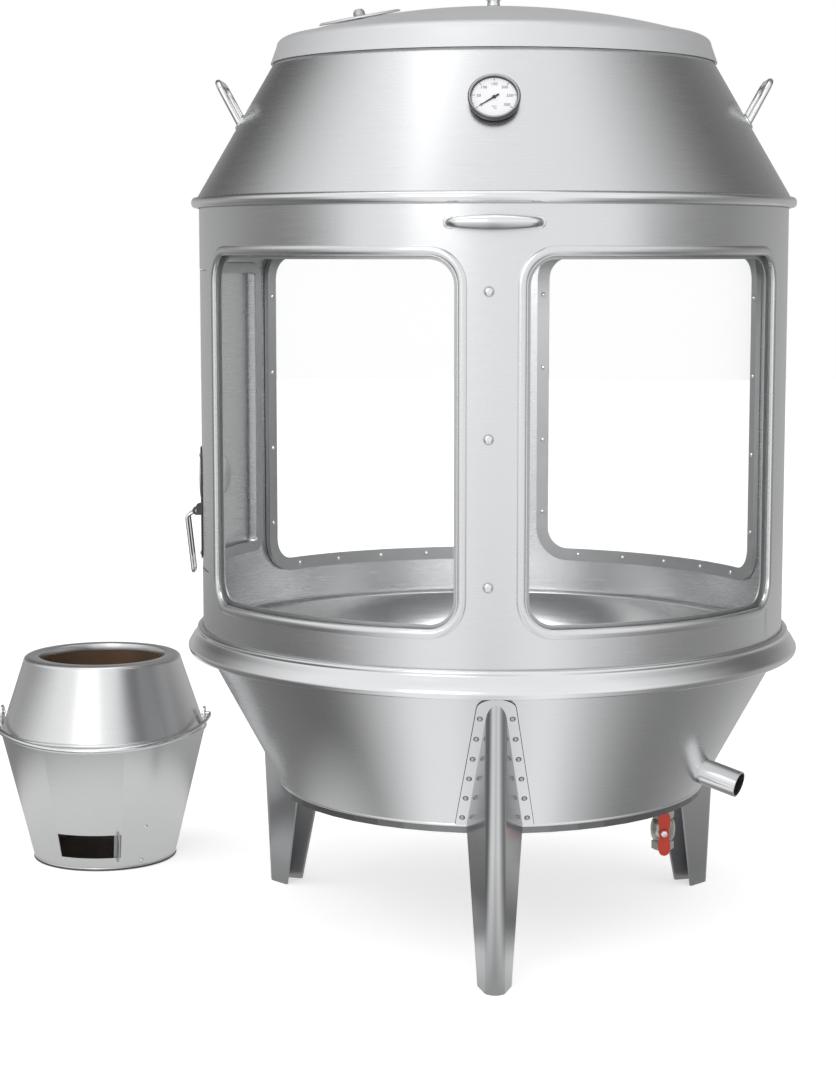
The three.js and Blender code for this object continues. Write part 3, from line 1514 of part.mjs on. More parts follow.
function makeFirePot() {
  const pot = new THREE.Group();
  pot.position.copy(onDrum(potDistance, potAzimuth, 0));
  const damperLow = airLow - damperMargin;
  const damperHigh = airHigh + damperMargin;
  const damperOuter = -potSheet - facetLoss(potRadiusAt(damperHigh), potSides) - gap;

  let bucket = revolve(
    [
      [0, potFloorHeight],
      [potRadiusAt(potFloorHeight) - potSheet, potFloorHeight],
      [potBottomRadius - potSheet, 0],
      [potBottomRadius, 0],
      [potRadiusAt(bucketTop), bucketTop],
      [potRadiusAt(bucketTop) - potSheet, bucketTop],
      [potRadiusAt(potFloorHeight + potSheet) - potSheet, potFloorHeight + potSheet],
      [0, potFloorHeight + potSheet],
    ],
    potSides,
  );
  const airLeft = airCentre - airWidth / 2;
  const airRight = airCentre + airWidth / 2;
  bucket = bucket.subtract(potPanel(airLow, airHigh, airLeft, airRight, -overrun, overrun));
  // Two rails inside the wall carry the sliding damper above and below the opening.
  for (const side of [-1, 1]) {
    const edge = side < 0 ? damperLow : damperHigh;
    const shelf = [edge + side * gap, edge + side * (gap + railThickness)].sort((a, b) => a - b);
    const lip = [edge - side * railLip, edge + side * (gap + railThickness)].sort((a, b) => a - b);
    const lipOuter = damperOuter - damperThickness - runningGap;
    const ends = [airLeft - damperLap, airRight + airWidth + damperLap];
    bucket = bucket.add(potPanel(...shelf, ...ends, lipOuter - railThickness, -potSheet * 0.7));
    bucket = bucket.add(potPanel(...lip, ...ends, lipOuter - railThickness, lipOuter));
  }
  addPiece(pot, "pot_bucket", bucket, brushedSteel);

  const coverLow = potRimHeight + gap / 2;
  const coverSlope = (potRimRadius - potTopRadius) / (potHeight - potRimHeight);
  const coverRadiusAt = (height) => potRimRadius - coverSlope * (height - potRimHeight);
  const cover = revolve(
    [
      [potRimRadius - potSheet, coverLow],
      [potRimRadius + potBeadRadius / 2, coverLow],
      [potRimRadius + potBeadRadius, coverLow + potBeadRadius],
      [potRimRadius + potBeadRadius / 2, coverLow + 2 * potBeadRadius],
      [coverRadiusAt(coverLow + 2 * potBeadRadius), coverLow + 2 * potBeadRadius],
      [coverRadiusAt(potHeight - potTopRound), potHeight - potTopRound],
      [potTopRadius - potTopRound, potHeight],
      [potMouthRadius + potSheet, potHeight],
      [potMouthRadius, potHeight - potSheet],
      [potMouthRadius, potHeight - potTopHem],
      [potMouthRadius + potSheet, potHeight - potTopHem],
      [potMouthRadius + potSheet, potHeight - potSheet],
      [potTopRadius - potTopRound, potHeight - potSheet],
      [coverRadiusAt(potHeight - potTopRound) - potSheet, potHeight - potTopRound],
    ],
    potSides,
  );
  addPiece(pot, "pot_cover", cover, brushedSteel);

  const linerHigh = potHeight - potTopHem - gap;
  const linerFit = potSheet + 2 * gap;
  const liner = revolve(
    [
      [linerLedgeRadius, linerBottom],
      [potRadiusAt(linerBottom) - linerFit, linerBottom],
      [potRadiusAt(potRimHeight) - linerFit, potRimHeight],
      [coverRadiusAt(linerHigh) - linerFit, linerHigh],
      [potMouthRadius - linerMouthInset, linerHigh],
      [linerWaistRadius, potRimHeight],
      [linerFootRadius, linerLedgeHeight],
      [linerLedgeRadius, linerLedgeHeight],
    ],
    potSides,
  );
  addPiece(pot, "pot_liner", liner, fireClay);

  const grateLow = linerLedgeHeight + gap;
  const grateHigh = grateLow + grateThickness;
  let grate = revolve(
    [
      [grateRadius - grateRimWidth, grateLow],
      [grateRadius, grateLow],
      [grateRadius, grateHigh],
      [grateRadius - grateRimWidth, grateHigh],
    ],
    smallSides,
  );
  for (let copy = 0; copy < grateBarCount; copy++) {
    const x = (2 * grateRadius * (copy + 0.5)) / grateBarCount - grateRadius;
    const length = 2 * Math.sqrt((grateRadius - grateRimWidth / 2) ** 2 - x ** 2);
    const centre = new THREE.Vector3(x, 0, (grateLow + grateHigh) / 2);
    grate = grate.add(block(grateBarWidth, length, grateThickness, centre));
  }
  addPiece(pot, "pot_grate", grate, castIron);

  // The damper is a bent plate inside the wall; its tab comes out through the opening, here slid fully open.
  const tabAzimuth = airRight - damperTabInset;
  const plate = potPanel(
    damperLow,
    damperHigh,
    tabAzimuth - damperLap,
    tabAzimuth + airWidth,
    damperOuter - damperThickness,
    damperOuter,
  );
  const middle = (airLow + airHigh) / 2;
  const wallLean = degrees(Math.atan((potRimRadius - potBottomRadius) / potRimHeight));
  const tabOutline = new THREE.Shape();
  const neck = (airHigh - airLow) / 2 - damperTabInset;
  const root = damperOuter - damperThickness / 2;
  tabOutline.moveTo(root, -neck);
  tabOutline.lineTo(runningGap, -neck);
  tabOutline.lineTo(runningGap, -damperTabHeight / 2);
  tabOutline.bezierCurveTo(
    damperTabReach,
    -damperTabHeight / 2,
    damperTabReach,
    damperTabHeight / 2,
    runningGap,
    damperTabHeight / 2,
  );
  tabOutline.lineTo(runningGap, neck);
  tabOutline.lineTo(root, neck);
  const tabPlate = new THREE.ExtrudeGeometry(tabOutline, {
    depth: damperTabThickness,
    bevelEnabled: false,
    curveSegments: rodSides,
  });
  const standing = new THREE.Matrix4().makeBasis(
    new THREE.Vector3(0, 0, 1),
    new THREE.Vector3(0, 1, 0),
    new THREE.Vector3(-1, 0, 0),
  );
  const tabFrame = surfaceFrame(potRadiusAt(middle), tabAzimuth, middle, -wallLean).multiply(standing);
  const damper = plate.add(solidOf(tabPlate, tabFrame));
  addPiece(pot, "pot_damper", damper, dullSteel);

  for (const [name, side] of [["left", -1], ["right", 1]]) {
    const earLow = coverLow + 2 * potBeadRadius + gap;
    const centre = new THREE.Vector3(side * (earOuterRadius - earThickness / 2), 0, (earLow + earTop) / 2);
    const across = new THREE.Matrix4()
      .makeRotationY(Math.PI / 2)
      .setPosition(side * earOuterRadius, 0, bailPivotHeight);
    let ear = block(earThickness, earWidth, earTop - earLow, centre);
    ear = ear.subtract(roundBar(earHoleRadius, -overrun, overrun, rodSides, across));
    addPiece(pot, "pot_ear_" + name, ear, polishedSteel);
  }

  // The bail lies forward on the rim: its wire runs round the front in a plane through the two ears.
  const drop = Math.asin((bailPivotHeight - bailFrontHeight) / bailRadius);
  const arc = Array.from({ length: bailSteps + 1 }, (_, step) => {
    const turn = (Math.PI * step) / bailSteps;
    const forward = bailRadius * Math.sin(turn);
    return new THREE.Vector3(
      -bailRadius * Math.cos(turn),
      -forward * Math.cos(drop),
      bailPivotHeight - forward * Math.sin(drop),
    );
  });
  const tip = (side) => new THREE.Vector3(side * (bailRadius - bailTipReach), 0, bailPivotHeight);
  const wire = [tip(-1), ...arc, tip(1)];
  const gripReach = bailRadius * bailGripShare;
  const radii = wire.map((point) => (Math.abs(point.x) < gripReach ? bailGripRadius : bailWireRadius));
  addPiece(pot, "pot_bail", rod(wire, radii), polishedSteel);
  return pot;
}
oven.add(makeFirePot());

// The part's origin is on the floor, under the middle of everything that stands on it.
const part = new THREE.Group();
part.add(oven);
const reach = new THREE.Box3().setFromObject(oven);
oven.position.set(-(reach.min.x + reach.max.x) / 2, -(reach.min.y + reach.max.y) / 2, 0);

export default part;
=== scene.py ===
import math

import bmesh
import bpy
from mathutils import Matrix, Vector


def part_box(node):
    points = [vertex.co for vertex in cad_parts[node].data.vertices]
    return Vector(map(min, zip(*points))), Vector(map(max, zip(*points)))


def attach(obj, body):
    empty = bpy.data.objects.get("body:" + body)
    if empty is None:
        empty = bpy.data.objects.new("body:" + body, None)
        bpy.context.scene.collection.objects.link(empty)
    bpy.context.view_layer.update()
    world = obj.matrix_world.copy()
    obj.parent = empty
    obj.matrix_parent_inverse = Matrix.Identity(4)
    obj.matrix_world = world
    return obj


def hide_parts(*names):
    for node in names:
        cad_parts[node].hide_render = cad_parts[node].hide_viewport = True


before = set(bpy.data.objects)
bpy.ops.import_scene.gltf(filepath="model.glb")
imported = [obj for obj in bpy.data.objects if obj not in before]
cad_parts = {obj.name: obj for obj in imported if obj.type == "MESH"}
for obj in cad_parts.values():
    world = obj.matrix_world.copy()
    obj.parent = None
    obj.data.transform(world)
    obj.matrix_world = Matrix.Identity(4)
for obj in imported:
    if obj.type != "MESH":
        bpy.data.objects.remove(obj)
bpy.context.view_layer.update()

# Camera: low in front of the oven and a little to its right, as a shop photo is taken.
# The oven's axis comes from the top ring. Sizes are in millimetres, and azimuths in degrees from the
# oven's front toward its right.
MM = 0.001
ring_low, ring_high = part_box("top_ring")
AXIS_X = (ring_low.x + ring_high.x) / 2 / MM
AXIS_Y = (ring_low.y + ring_high.y) / 2 / MM
CAMERA_BACK = 3476.5
CAMERA_HEIGHT = 999.9
CAMERA_DOWN = 6.838
CAMERA_LEFT = 1.812
CAMERA_LENS = 100.9

camera_data = bpy.data.cameras.new("camera")
camera_data.sensor_fit = "HORIZONTAL"
camera_data.sensor_width = 36
camera_data.lens = CAMERA_LENS
camera = bpy.data.objects.new("camera", camera_data)
camera.location = (AXIS_X * MM, (AXIS_Y - CAMERA_BACK) * MM, CAMERA_HEIGHT * MM)
camera.rotation_euler = (math.radians(90 - CAMERA_DOWN), 0, math.radians(CAMERA_LEFT))
bpy.context.scene.collection.objects.link(camera)
bpy.context.scene.camera = camera
bpy.context.scene.view_settings.view_transform = "Standard"


# Room: soft shades for the steel to mirror, bright behind the camera and dark at the sides.
# The camera and the panes see plain white instead. Two large lamps stand in front and above, and a small
# one fills the drum from under the hood.
def shader_tree(owner):
    owner.use_nodes = True
    owner.node_tree.nodes.clear()
    return owner.node_tree


def add_node(tree, kind, inputs=None, **settings):
    node = tree.nodes.new(kind)
    for key, value in settings.items():
        setattr(node, key, value)
    for key, value in (inputs or {}).items():
        if isinstance(value, bpy.types.NodeSocket):
            tree.links.new(value, node.inputs[key])
        else:
            node.inputs[key].default_value = value
    return node


def math_node(tree, operation, *values):
    return add_node(tree, "ShaderNodeMath", dict(enumerate(values)), operation=operation).outputs[0]


def blend(tree, share, first, second):
    inputs = {"Factor": share, 6: first, 7: second}
    return add_node(tree, "ShaderNodeMix", inputs, data_type="RGBA").outputs[2]


def ramp_node(tree, value, stops):
    # Grey shades at rising places between 0 and 1, with soft passages between them.
    node = add_node(tree, "ShaderNodeValToRGB", {"Fac": value})
    ramp = node.color_ramp
    ramp.interpolation = "B_SPLINE"
    for index, (place, shade) in enumerate([stops[0], stops[-1]] + stops[1:-1]):
        stop = ramp.elements[index] if index < 2 else ramp.elements.new(place)
        stop.position = place
        stop.color = (shade, shade, shade, 1)
    return node.outputs["Color"]


def turn_share(tree, place):
    # The azimuth of a place or direction as a share of a turn, 0.5 to the front, and its height.
    parts = add_node(tree, "ShaderNodeSeparateXYZ", {0: place}).outputs
    turn = math_node(tree, "ARCTAN2", parts["X"], math_node(tree, "MULTIPLY", parts["Y"], -1.0))
    return math_node(tree, "MULTIPLY_ADD", turn, 1 / (2 * math.pi), 0.5), parts["Z"]


# The drum mirrors the room's lower part and the hood its upper part; each has its shade by share of a turn.
LOWER_ROOM = [
    (0.0, 0.52), (0.15, 0.45), (0.21, 0.27), (0.26, 0.17), (0.303, 0.3), (0.342, 0.82), (0.378, 1.36),
    (0.45, 1.85), (0.5, 1.35), (0.56, 1.85), (0.61, 1.42), (0.65, 0.78), (0.685, 0.44), (0.727, 0.27),
    (0.775, 0.27), (0.83, 0.42), (0.91, 0.47), (1.0, 0.52),
]
UPPER_ROOM = [
    (0.0, 0.2), (0.08, 0.01), (0.15, 0.11), (0.2, 0.68), (0.25, 0.88), (0.3, 1.2), (0.36, 1.62), (0.44, 1.6),
    (0.5, 0.98), (0.56, 1.22), (0.65, 1.08), (0.72, 0.7), (0.78, 0.3), (0.83, 0.06), (0.88, 0.18),
    (0.95, 0.25), (1.0, 0.2),
]
UPPER_BY_HEIGHT = [(0.06, 0.0), (0.3, 1.0)]
CEILING_BY_HEIGHT = [(0.9, 0.0), (0.985, 1.0)]
CEILING_SHADE = (0.8, 0.8, 0.8, 1)
WHITE = (1, 1, 1, 1)

world = bpy.data.worlds.new("studio")
bpy.context.scene.world = world
tree = shader_tree(world)
share, height = turn_share(tree, add_node(tree, "ShaderNodeTexCoord").outputs["Generated"])
rise = ramp_node(tree, height, UPPER_BY_HEIGHT)
shade = blend(tree, rise, ramp_node(tree, share, LOWER_ROOM), ramp_node(tree, share, UPPER_ROOM))
shade = blend(tree, ramp_node(tree, height, CEILING_BY_HEIGHT), shade, CEILING_SHADE)
rays = add_node(tree, "ShaderNodeLightPath").outputs
seen = math_node(tree, "MAXIMUM", rays["Is Camera Ray"], rays["Is Transmission Ray"])
lit = add_node(tree, "ShaderNodeBackground", {"Color": shade, "Strength": 1.0}).outputs[0]
white = add_node(tree, "ShaderNodeBackground", {"Color": WHITE, "Strength": 1.0}).outputs[0]
mixed = add_node(tree, "ShaderNodeMixShader", {0: seen, 1: lit, 2: white}).outputs[0]
add_node(tree, "ShaderNodeOutputWorld", {"Surface": mixed})

UNDER_HOOD = Vector((AXIS_X * MM, AXIS_Y * MM, 0.985))
LAMPS = [
    ("key_light", (1.6, 2.4), (-1.25, -4.0, 2.4), (0.1, 0, 0.7), 20),
    ("top_light", (2.4, 2.4), (-0.4, -0.2, 4.0), (0.1, 0, 0), 14),
    ("inside_light", (0.5, 0.5), UNDER_HOOD, UNDER_HOOD * Vector((1, 1, 0)), 2.5),
]
for name, size, place, target, power in LAMPS:
    lamp_data = bpy.data.lights.new(name, "AREA")
    lamp_data.shape = "RECTANGLE"
    lamp_data.size, lamp_data.size_y = size
    lamp_data.energy = power
    lamp = bpy.data.objects.new(name, lamp_data)
    lamp.location = place
    lamp.rotation_euler = (Vector(target) - Vector(place)).to_track_quat("-Z", "Y").to_euler()
    lamp.visible_camera = name != "inside_light"
    bpy.context.scene.collection.objects.link(lamp)


# Floor: a pale painted board that keeps the shadow under the oven and the pot.
# Its mirror image, by direction from the oven's axis, is what the bowl and the legs show. It is darker
# close to the pot, and far off it goes over into the room's lower part.
def noise_node(tree, scale, detail, where=None):
    node = add_node(tree, "ShaderNodeTexNoise", {"Scale": scale, "Detail": detail})
    if where is not None:
        tree.links.new(where, node.inputs["Vector"])
    return node.outputs["Fac"]


FLOOR_SIZE = 30
BOARD_SHADES = [(0.3, 0.9), (0.7, 0.93)]
BOARD_GLOW = 0.35
CAMERA_GLOW = 0.25
FLOOR_POOL = [
    (0.0, 0.5), (0.13, 0.24), (0.2, 0.24), (0.27, 0.18), (0.33, 0.14), (0.35, 0.2), (0.38, 0.46),
    (0.42, 0.94), (0.455, 1.25), (0.5, 0.55), (0.545, 1.2), (0.58, 0.76), (0.62, 0.44), (0.66, 0.22),
    (0.72, 0.25), (0.8, 0.42), (0.87, 0.56), (1.0, 0.5),
]
POT_PLACE = (-0.66, 0.2, 0)
POT_POOL_BY_RAY = [(0.0, 0.62), (0.15, 0.7), (0.3, 0.85), (0.5, 0.0)]
POT_POOL_BY_PLACE = [(0.45, 1.0), (0.75, 0.0)]
FAR_UNIT = 10.0
FAR_BY_RAY = [(0.35, 0.0), (0.5, 1.0)]

floor_mesh = bpy.data.meshes.new("floor")
half = FLOOR_SIZE / 2
corners = [(-half, -half, 0), (half, -half, 0), (half, half, 0), (-half, half, 0)]
floor_mesh.from_pydata(corners, [], [(0, 1, 2, 3)])
floor = bpy.data.objects.new("floor", floor_mesh)
bpy.context.scene.collection.objects.link(floor)
floor_material = bpy.data.materials.new("floor")
tree = shader_tree(floor_material)
tone = ramp_node(tree, noise_node(tree, 3.0, 4.0), BOARD_SHADES)
board = add_node(tree, "ShaderNodeBsdfDiffuse", {"Color": tone}).outputs[0]
rays = add_node(tree, "ShaderNodeLightPath").outputs
glow_power = math_node(tree, "MULTIPLY_ADD", rays["Is Camera Ray"], CAMERA_GLOW, BOARD_GLOW)
glow = add_node(tree, "ShaderNodeEmission", {"Color": WHITE, "Strength": glow_power}).outputs[0]
plain = add_node(tree, "ShaderNodeAddShader", {0: board, 1: glow}).outputs[0]
place = add_node(tree, "ShaderNodeNewGeometry").outputs["Position"]
from_axis = add_node(tree, "ShaderNodeVectorMath", {0: place, 1: (-AXIS_X * MM, -AXIS_Y * MM, 0)}).outputs[0]
share = turn_share(tree, from_axis)[0]
from_pot = add_node(tree, "ShaderNodeVectorMath", {0: from_axis, 1: POT_PLACE}, operation="DISTANCE")
near_pot = math_node(tree, "MULTIPLY", ramp_node(tree, rays["Ray Length"], POT_POOL_BY_RAY),
                     ramp_node(tree, from_pot.outputs["Value"], POT_POOL_BY_PLACE))
pool = math_node(tree, "MAXIMUM", ramp_node(tree, share, FLOOR_POOL), near_pot)
far_off = ramp_node(tree, math_node(tree, "MULTIPLY", rays["Ray Length"], 1 / FAR_UNIT), FAR_BY_RAY)
pool = blend(tree, far_off, pool, ramp_node(tree, share, LOWER_ROOM))
image = add_node(tree, "ShaderNodeEmission", {"Color": pool, "Strength": 1.0}).outputs[0]
mixed = add_node(tree, "ShaderNodeMixShader", {0: rays["Is Glossy Ray"], 1: plain, 2: image}).outputs[0]
add_node(tree, "ShaderNodeOutputMaterial", {"Surface": mixed})
floor_mesh.materials.append(floor_material)


# Drum: a brushed stainless sheet rolled and welded to a tube, with four window openings and one for the
# door. Round each window a half-round bead is pressed outward, and it stiffens the sheet.
def new_material(name):
    material = bpy.data.materials.new(name)
    tree = shader_tree(material)
    return material, tree, add_node(tree, "ShaderNodeTexCoord").outputs["Object"]


def tinted(colour, share):
    return tuple(min(1, part * share) for part in colour) + (1,)


def finish_material(tree, tone, rough, relief, strength, depth, metallic=0.0):
    bump = add_node(tree, "ShaderNodeBump", {"Height": relief, "Strength": strength, "Distance": depth})
    shader = add_node(tree, "ShaderNodeBsdfPrincipled", {
        "Base Color": tone,
        "Metallic": metallic,
        "Roughness": rough,
        "Normal": bump.outputs[0],
    })
    add_node(tree, "ShaderNodeOutputMaterial", {"Surface": shader.outputs[0]})


LINE_TINTS = (0.96, 1.03)
LINES_ROUND = 8.0
UPRIGHT_STRETCH = 9
CLOUD = 0.06


def brushed_metal(name, colour, roughness, line_depth=0.2, lines=900.0, metallic=1.0, upright=False,
                  centre=(AXIS_X, AXIS_Y), painted_low_shade=None):
    # Fine lines run round the centre, or up and down, and change roughness and colour a little.
    # A slow cloud stands for handling and heat marks. Painted shade (low, high, share) darkens what lies low.
    material, tree, where = new_material(name)
    middle = (-centre[0] * MM, -centre[1] * MM, 0)
    shifted = add_node(tree, "ShaderNodeVectorMath", {0: where, 1: middle}, operation="ADD").outputs[0]
    parts = add_node(tree, "ShaderNodeSeparateXYZ", {0: shifted}).outputs
    if upright:
        stretch = {0: where, 1: (lines, lines, UPRIGHT_STRETCH)}
        spread = add_node(tree, "ShaderNodeVectorMath", stretch, operation="MULTIPLY").outputs[0]
    else:
        turn = math_node(tree, "ARCTAN2", parts["X"], parts["Y"])
        distance = add_node(tree, "ShaderNodeVectorMath", {0: shifted}, operation="LENGTH").outputs["Value"]
        spread = add_node(tree, "ShaderNodeCombineXYZ", {
            "X": math_node(tree, "MULTIPLY", turn, LINES_ROUND),
            "Y": math_node(tree, "MULTIPLY", distance, lines / 4),
            "Z": math_node(tree, "MULTIPLY", parts["Z"], lines),
        }).outputs[0]
    fine = noise_node(tree, 1.0, 3.0, spread)
    slow = noise_node(tree, 5.0, 4.0, where)
    rough_lines = math_node(tree, "MULTIPLY_ADD", fine, line_depth, roughness - line_depth / 2)
    rough = math_node(tree, "MULTIPLY_ADD", slow, CLOUD, rough_lines)
    dark, light = [tinted(colour, share) for share in LINE_TINTS]
    tone = blend(tree, fine, dark, light)
    # Painted shade: below the height low the colour is darkened to its share, easing back to full at high.
    if painted_low_shade:
        low, high, kept = painted_low_shade
        limits = {"Value": parts["Z"], "From Min": low, "From Max": high, "To Min": kept, "To Max": 1.0}
        fade = add_node(tree, "ShaderNodeMapRange", limits).outputs[0]
        tone = blend(tree, fade, (0, 0, 0, 1), tone)
    finish_material(tree, tone, rough, fine, 0.02, 0.0003, metallic)
    return material


SHARP_ANGLE = math.radians(32)


def add_piece(name, mesh, material, body, replaces=(), slot=None):
    # A slot name is taken from the material's name when none is given; nothing uses it here.
    if slot is None:
        slot = material.name.split(".")[0]
    mesh.materials.append(material)
    mesh.polygons.foreach_set("use_smooth", [True] * len(mesh.polygons))
    mesh.set_sharp_from_angle(angle=SHARP_ANGLE)
    piece = bpy.data.objects.new(name, mesh)
    bpy.context.scene.collection.objects.link(piece)
    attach(piece, body)
    if replaces:
        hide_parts(*replaces)


def dress(material, node):
    # A node whose shape is right stays, and gets a better material.
    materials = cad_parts[node].data.materials
    materials.clear()
    materials.append(material)


def on_drum(radius, azimuth, height):
    # A point at a distance from the oven's axis, in metres.
    turn = math.radians(azimuth)
    return Vector((
        (AXIS_X + radius * math.sin(turn)) * MM,
        (AXIS_Y - radius * math.cos(turn)) * MM,
        height * MM,
    ))


def seat_frame(radius, azimuth, height, tilt=0.0):
    # A place on the drum or a cone whose third axis points outward, tilted up by some degrees.
    turn = math.radians(azimuth)
    lean = math.radians(tilt)
    outward = Vector((math.sin(turn), -math.cos(turn), 0))
    across = Vector((math.cos(turn), math.sin(turn), 0))
    normal = outward * math.cos(lean) + Vector((0, 0, math.sin(lean)))
    rows = [across, normal.cross(across), normal]
    place = Matrix([[row[k] for row in rows] for k in range(3)]).to_4x4()
    place.translation = on_drum(radius, azimuth, height)
    return place


def new_mesh(name, points, faces):
    # Doubled points are joined, and faces turned outward.
    mesh = bpy.data.meshes.new(name)
    mesh.from_pydata(points, [], faces)
    work = bmesh.new()
    work.from_mesh(mesh)
    bmesh.ops.remove_doubles(work, verts=work.verts, dist=1e-6)
    bmesh.ops.dissolve_degenerate(work, edges=work.edges, dist=1e-7)
    bmesh.ops.recalc_face_normals(work, faces=work.faces)
    work.to_mesh(mesh)
    work.free()
    mesh.update()
    return mesh


def loop_faces(loops, count, closed=False):
    # Faces between loops of points that follow each other; closed joins the last loop to the first.
    faces = []
    for loop in range(loops if closed else loops - 1):
        near = loop * count
        far = (loop + 1) % loops * count
        for k in range(count):
            after = (k + 1) % count
            faces.append((near + k, near + after, far + after, far + k))
    return faces


def end_faces(loops, count):
    return [tuple(range(count))[::-1], tuple(range((loops - 1) * count, loops * count))]


def spaced(first, last, steps):
    return [first + (last - first) * step / steps for step in range(steps + 1)]


def arc(across, level, wide, high, turns):
    return [(across + wide * math.cos(turn), level + high * math.sin(turn)) for turn in turns]


def turned(profile, steps=192, place=None):
    # A closed profile of (radius, height) pairs, turned round the oven's axis or a local one.
    points = []
    for turn in spaced(0, 2 * math.pi, steps)[:-1]:
        for radius, height in profile:
            if place is None:
                points.append(on_drum(radius, math.degrees(turn), height))
            else:
                local = Vector((radius * math.cos(turn), radius * math.sin(turn), height)) * MM
                points.append(place @ local)
    count = len(profile)
    on_axis = [profile[k][0] == 0 and profile[(k + 1) % count][0] == 0 for k in range(count)]
    faces = []
    for k, face in enumerate(loop_faces(steps, count, closed=True)):
        if not on_axis[k % count]:
            faces.append(face[:1] + face[:0:-1])
    return new_mesh("turned", points, faces)


DRUM_RADIUS = 430
DRUM_SHEET = 2.5
DRUM_LEVELS = (434.3, 1074.7)
ROUND_STEPS = 240
WINDOWS = {"front_left": -35.7, "front_right": 35.7, "rear_right": 138.2, "rear_left": -154.1}
WINDOW_SHAPE = (470, 492, 1008.4, 52)
DOOR_SHAPE = (360, 540, 975, 14)
DOOR_CENTRE = -94.5
OPENING_INSET = 13
CUT_THROUGH = (415, 445)
BEAD_WIDTH = 12
BEAD_HEIGHT = 3.5
BEAD_SINK = 0.8
CORNER_STEPS = 10
EDGE_STEPS = 28


def along_drum(length):
    # The degrees that a length on the drum's outside takes up.
    return math.degrees(length / DRUM_RADIUS)


def panel_edge(centre, shape, inset, radius):
    # The edge of a rounded rectangle bent round the drum, as two rows from left to right.
    # Its shape is the width, bottom, top and corner radius.
    width, bottom, top, corner = shape
    half, low, high, round_off = width / 2 - inset, bottom + inset, top - inset, corner - inset
    corners = spaced(0, math.pi / 2, CORNER_STEPS)
    right = [(half - round_off * (1 - math.cos(t)), round_off * (1 - math.sin(t))) for t in corners]
    left = [(-along, rise) for along, rise in right]
    level = [(2 * (half - round_off) * (k / EDGE_STEPS - 0.5), 0) for k in range(1, EDGE_STEPS)]
    columns = [(centre + along_drum(along), rise) for along, rise in left + level + right[::-1]]
    lower = [on_drum(radius, azimuth, low + rise) for azimuth, rise in columns]
    upper = [on_drum(radius, azimuth, high - rise) for azimuth, rise in columns]
    return lower, upper


def bent_panel(centre, shape, inset, inner, outer):
    points = []
    for radius in (inner, outer):
        for row in panel_edge(centre, shape, inset, radius):
            count = len(row)
            points += row
    lower_in, upper_in, lower_out, upper_out = 0, count, 2 * count, 3 * count
    faces = []
    for k in range(count - 1):
        faces.append((lower_out + k, lower_out + k + 1, upper_out + k + 1, upper_out + k))
        faces.append((lower_in + k, upper_in + k, upper_in + k + 1, lower_in + k + 1))
        faces.append((lower_in + k, lower_in + k + 1, lower_out + k + 1, lower_out + k))
        faces.append((upper_in + k, upper_out + k, upper_out + k + 1, upper_in + k + 1))
    for k in (0, count - 1):
        faces.append((lower_in + k, lower_out + k, upper_out + k, upper_in + k))
    return new_mesh("bent_panel", points, faces)


def swept_edge(centre, shape, section):
    # A closed section of (inset, radius) pairs carried round the rounded rectangle.
    points = []
    for inset, radius in section:
        lower, upper = panel_edge(centre, shape, inset, radius)
        points += lower + upper[::-1]
    return new_mesh("swept_edge", points, loop_faces(len(section), len(points) // len(section), closed=True))


def cut_out(mesh, cutters):
    # Cuts through modifiers on a passing object; the result comes back as a plain mesh.
    scene = bpy.context.scene
    blank = bpy.data.objects.new("blank", mesh)
    scene.collection.objects.link(blank)
    tools = []
    for cutter in cutters:
        tool = bpy.data.objects.new("tool", cutter)
        scene.collection.objects.link(tool)
        tools.append(tool)
        step = blank.modifiers.new("cut", "BOOLEAN")
        step.operation = "DIFFERENCE"
        step.solver = "EXACT"
        step.object = tool
    bpy.context.view_layer.update()
    result = bpy.data.meshes.new_from_object(blank.evaluated_get(bpy.context.evaluated_depsgraph_get()))
    for passing in [blank] + tools:
        bpy.data.objects.remove(passing)
    return result


brushed_steel = brushed_metal("brushed_steel", (0.74, 0.745, 0.755), 0.23, 0.1)
wall = [
    (DRUM_RADIUS - DRUM_SHEET, DRUM_LEVELS[0]),
    (DRUM_RADIUS, DRUM_LEVELS[0]),
    (DRUM_RADIUS, DRUM_LEVELS[1]),
    (DRUM_RADIUS - DRUM_SHEET, DRUM_LEVELS[1]),
]
cutters = [bent_panel(centre, WINDOW_SHAPE, OPENING_INSET, *CUT_THROUGH) for centre in WINDOWS.values()]
cutters.append(bent_panel(DOOR_CENTRE, DOOR_SHAPE, 0, *CUT_THROUGH))
add_piece("drum_sheet", cut_out(turned(wall, ROUND_STEPS), cutters), brushed_steel, "oven", ["body_shell"])
bead = [(0, DRUM_RADIUS - BEAD_SINK)]
for turn in spaced(0, math.pi, 8):
    bead.append((BEAD_WIDTH / 2 * (1 - math.cos(turn)), DRUM_RADIUS + BEAD_HEIGHT * math.sin(turn) ** 0.7))
bead.append((BEAD_WIDTH, DRUM_RADIUS - BEAD_SINK))
for side, centre in WINDOWS.items():
    add_piece("window_bead_" + side, swept_edge(centre, WINDOW_SHAPE, bead), brushed_steel, "oven")


# Window panes: bent toughened glass, held from inside by a rebated retaining frame.
# The frames are dull stainless and reach back to the drum wall all round.
CLEAR_TINT = (0.999, 1.0, 0.9995, 1)
MIRROR_TINT = (0.9, 0.92, 0.91, 1)
MIRROR_FACE_ON = 0.006
MIRROR_EDGE_ON = 0.8
PANE_INSET = 4
PANE_FACES = (422.3, 426.3)
FRAME_FACE = 419.1
FRAME_BACK = 426.2
FRAME_SECTION = [(-2, FRAME_BACK), (-2, FRAME_FACE), (18, FRAME_FACE), (18, 421.1), (3.4, 421.1),
                 (3.4, FRAME_BACK)]

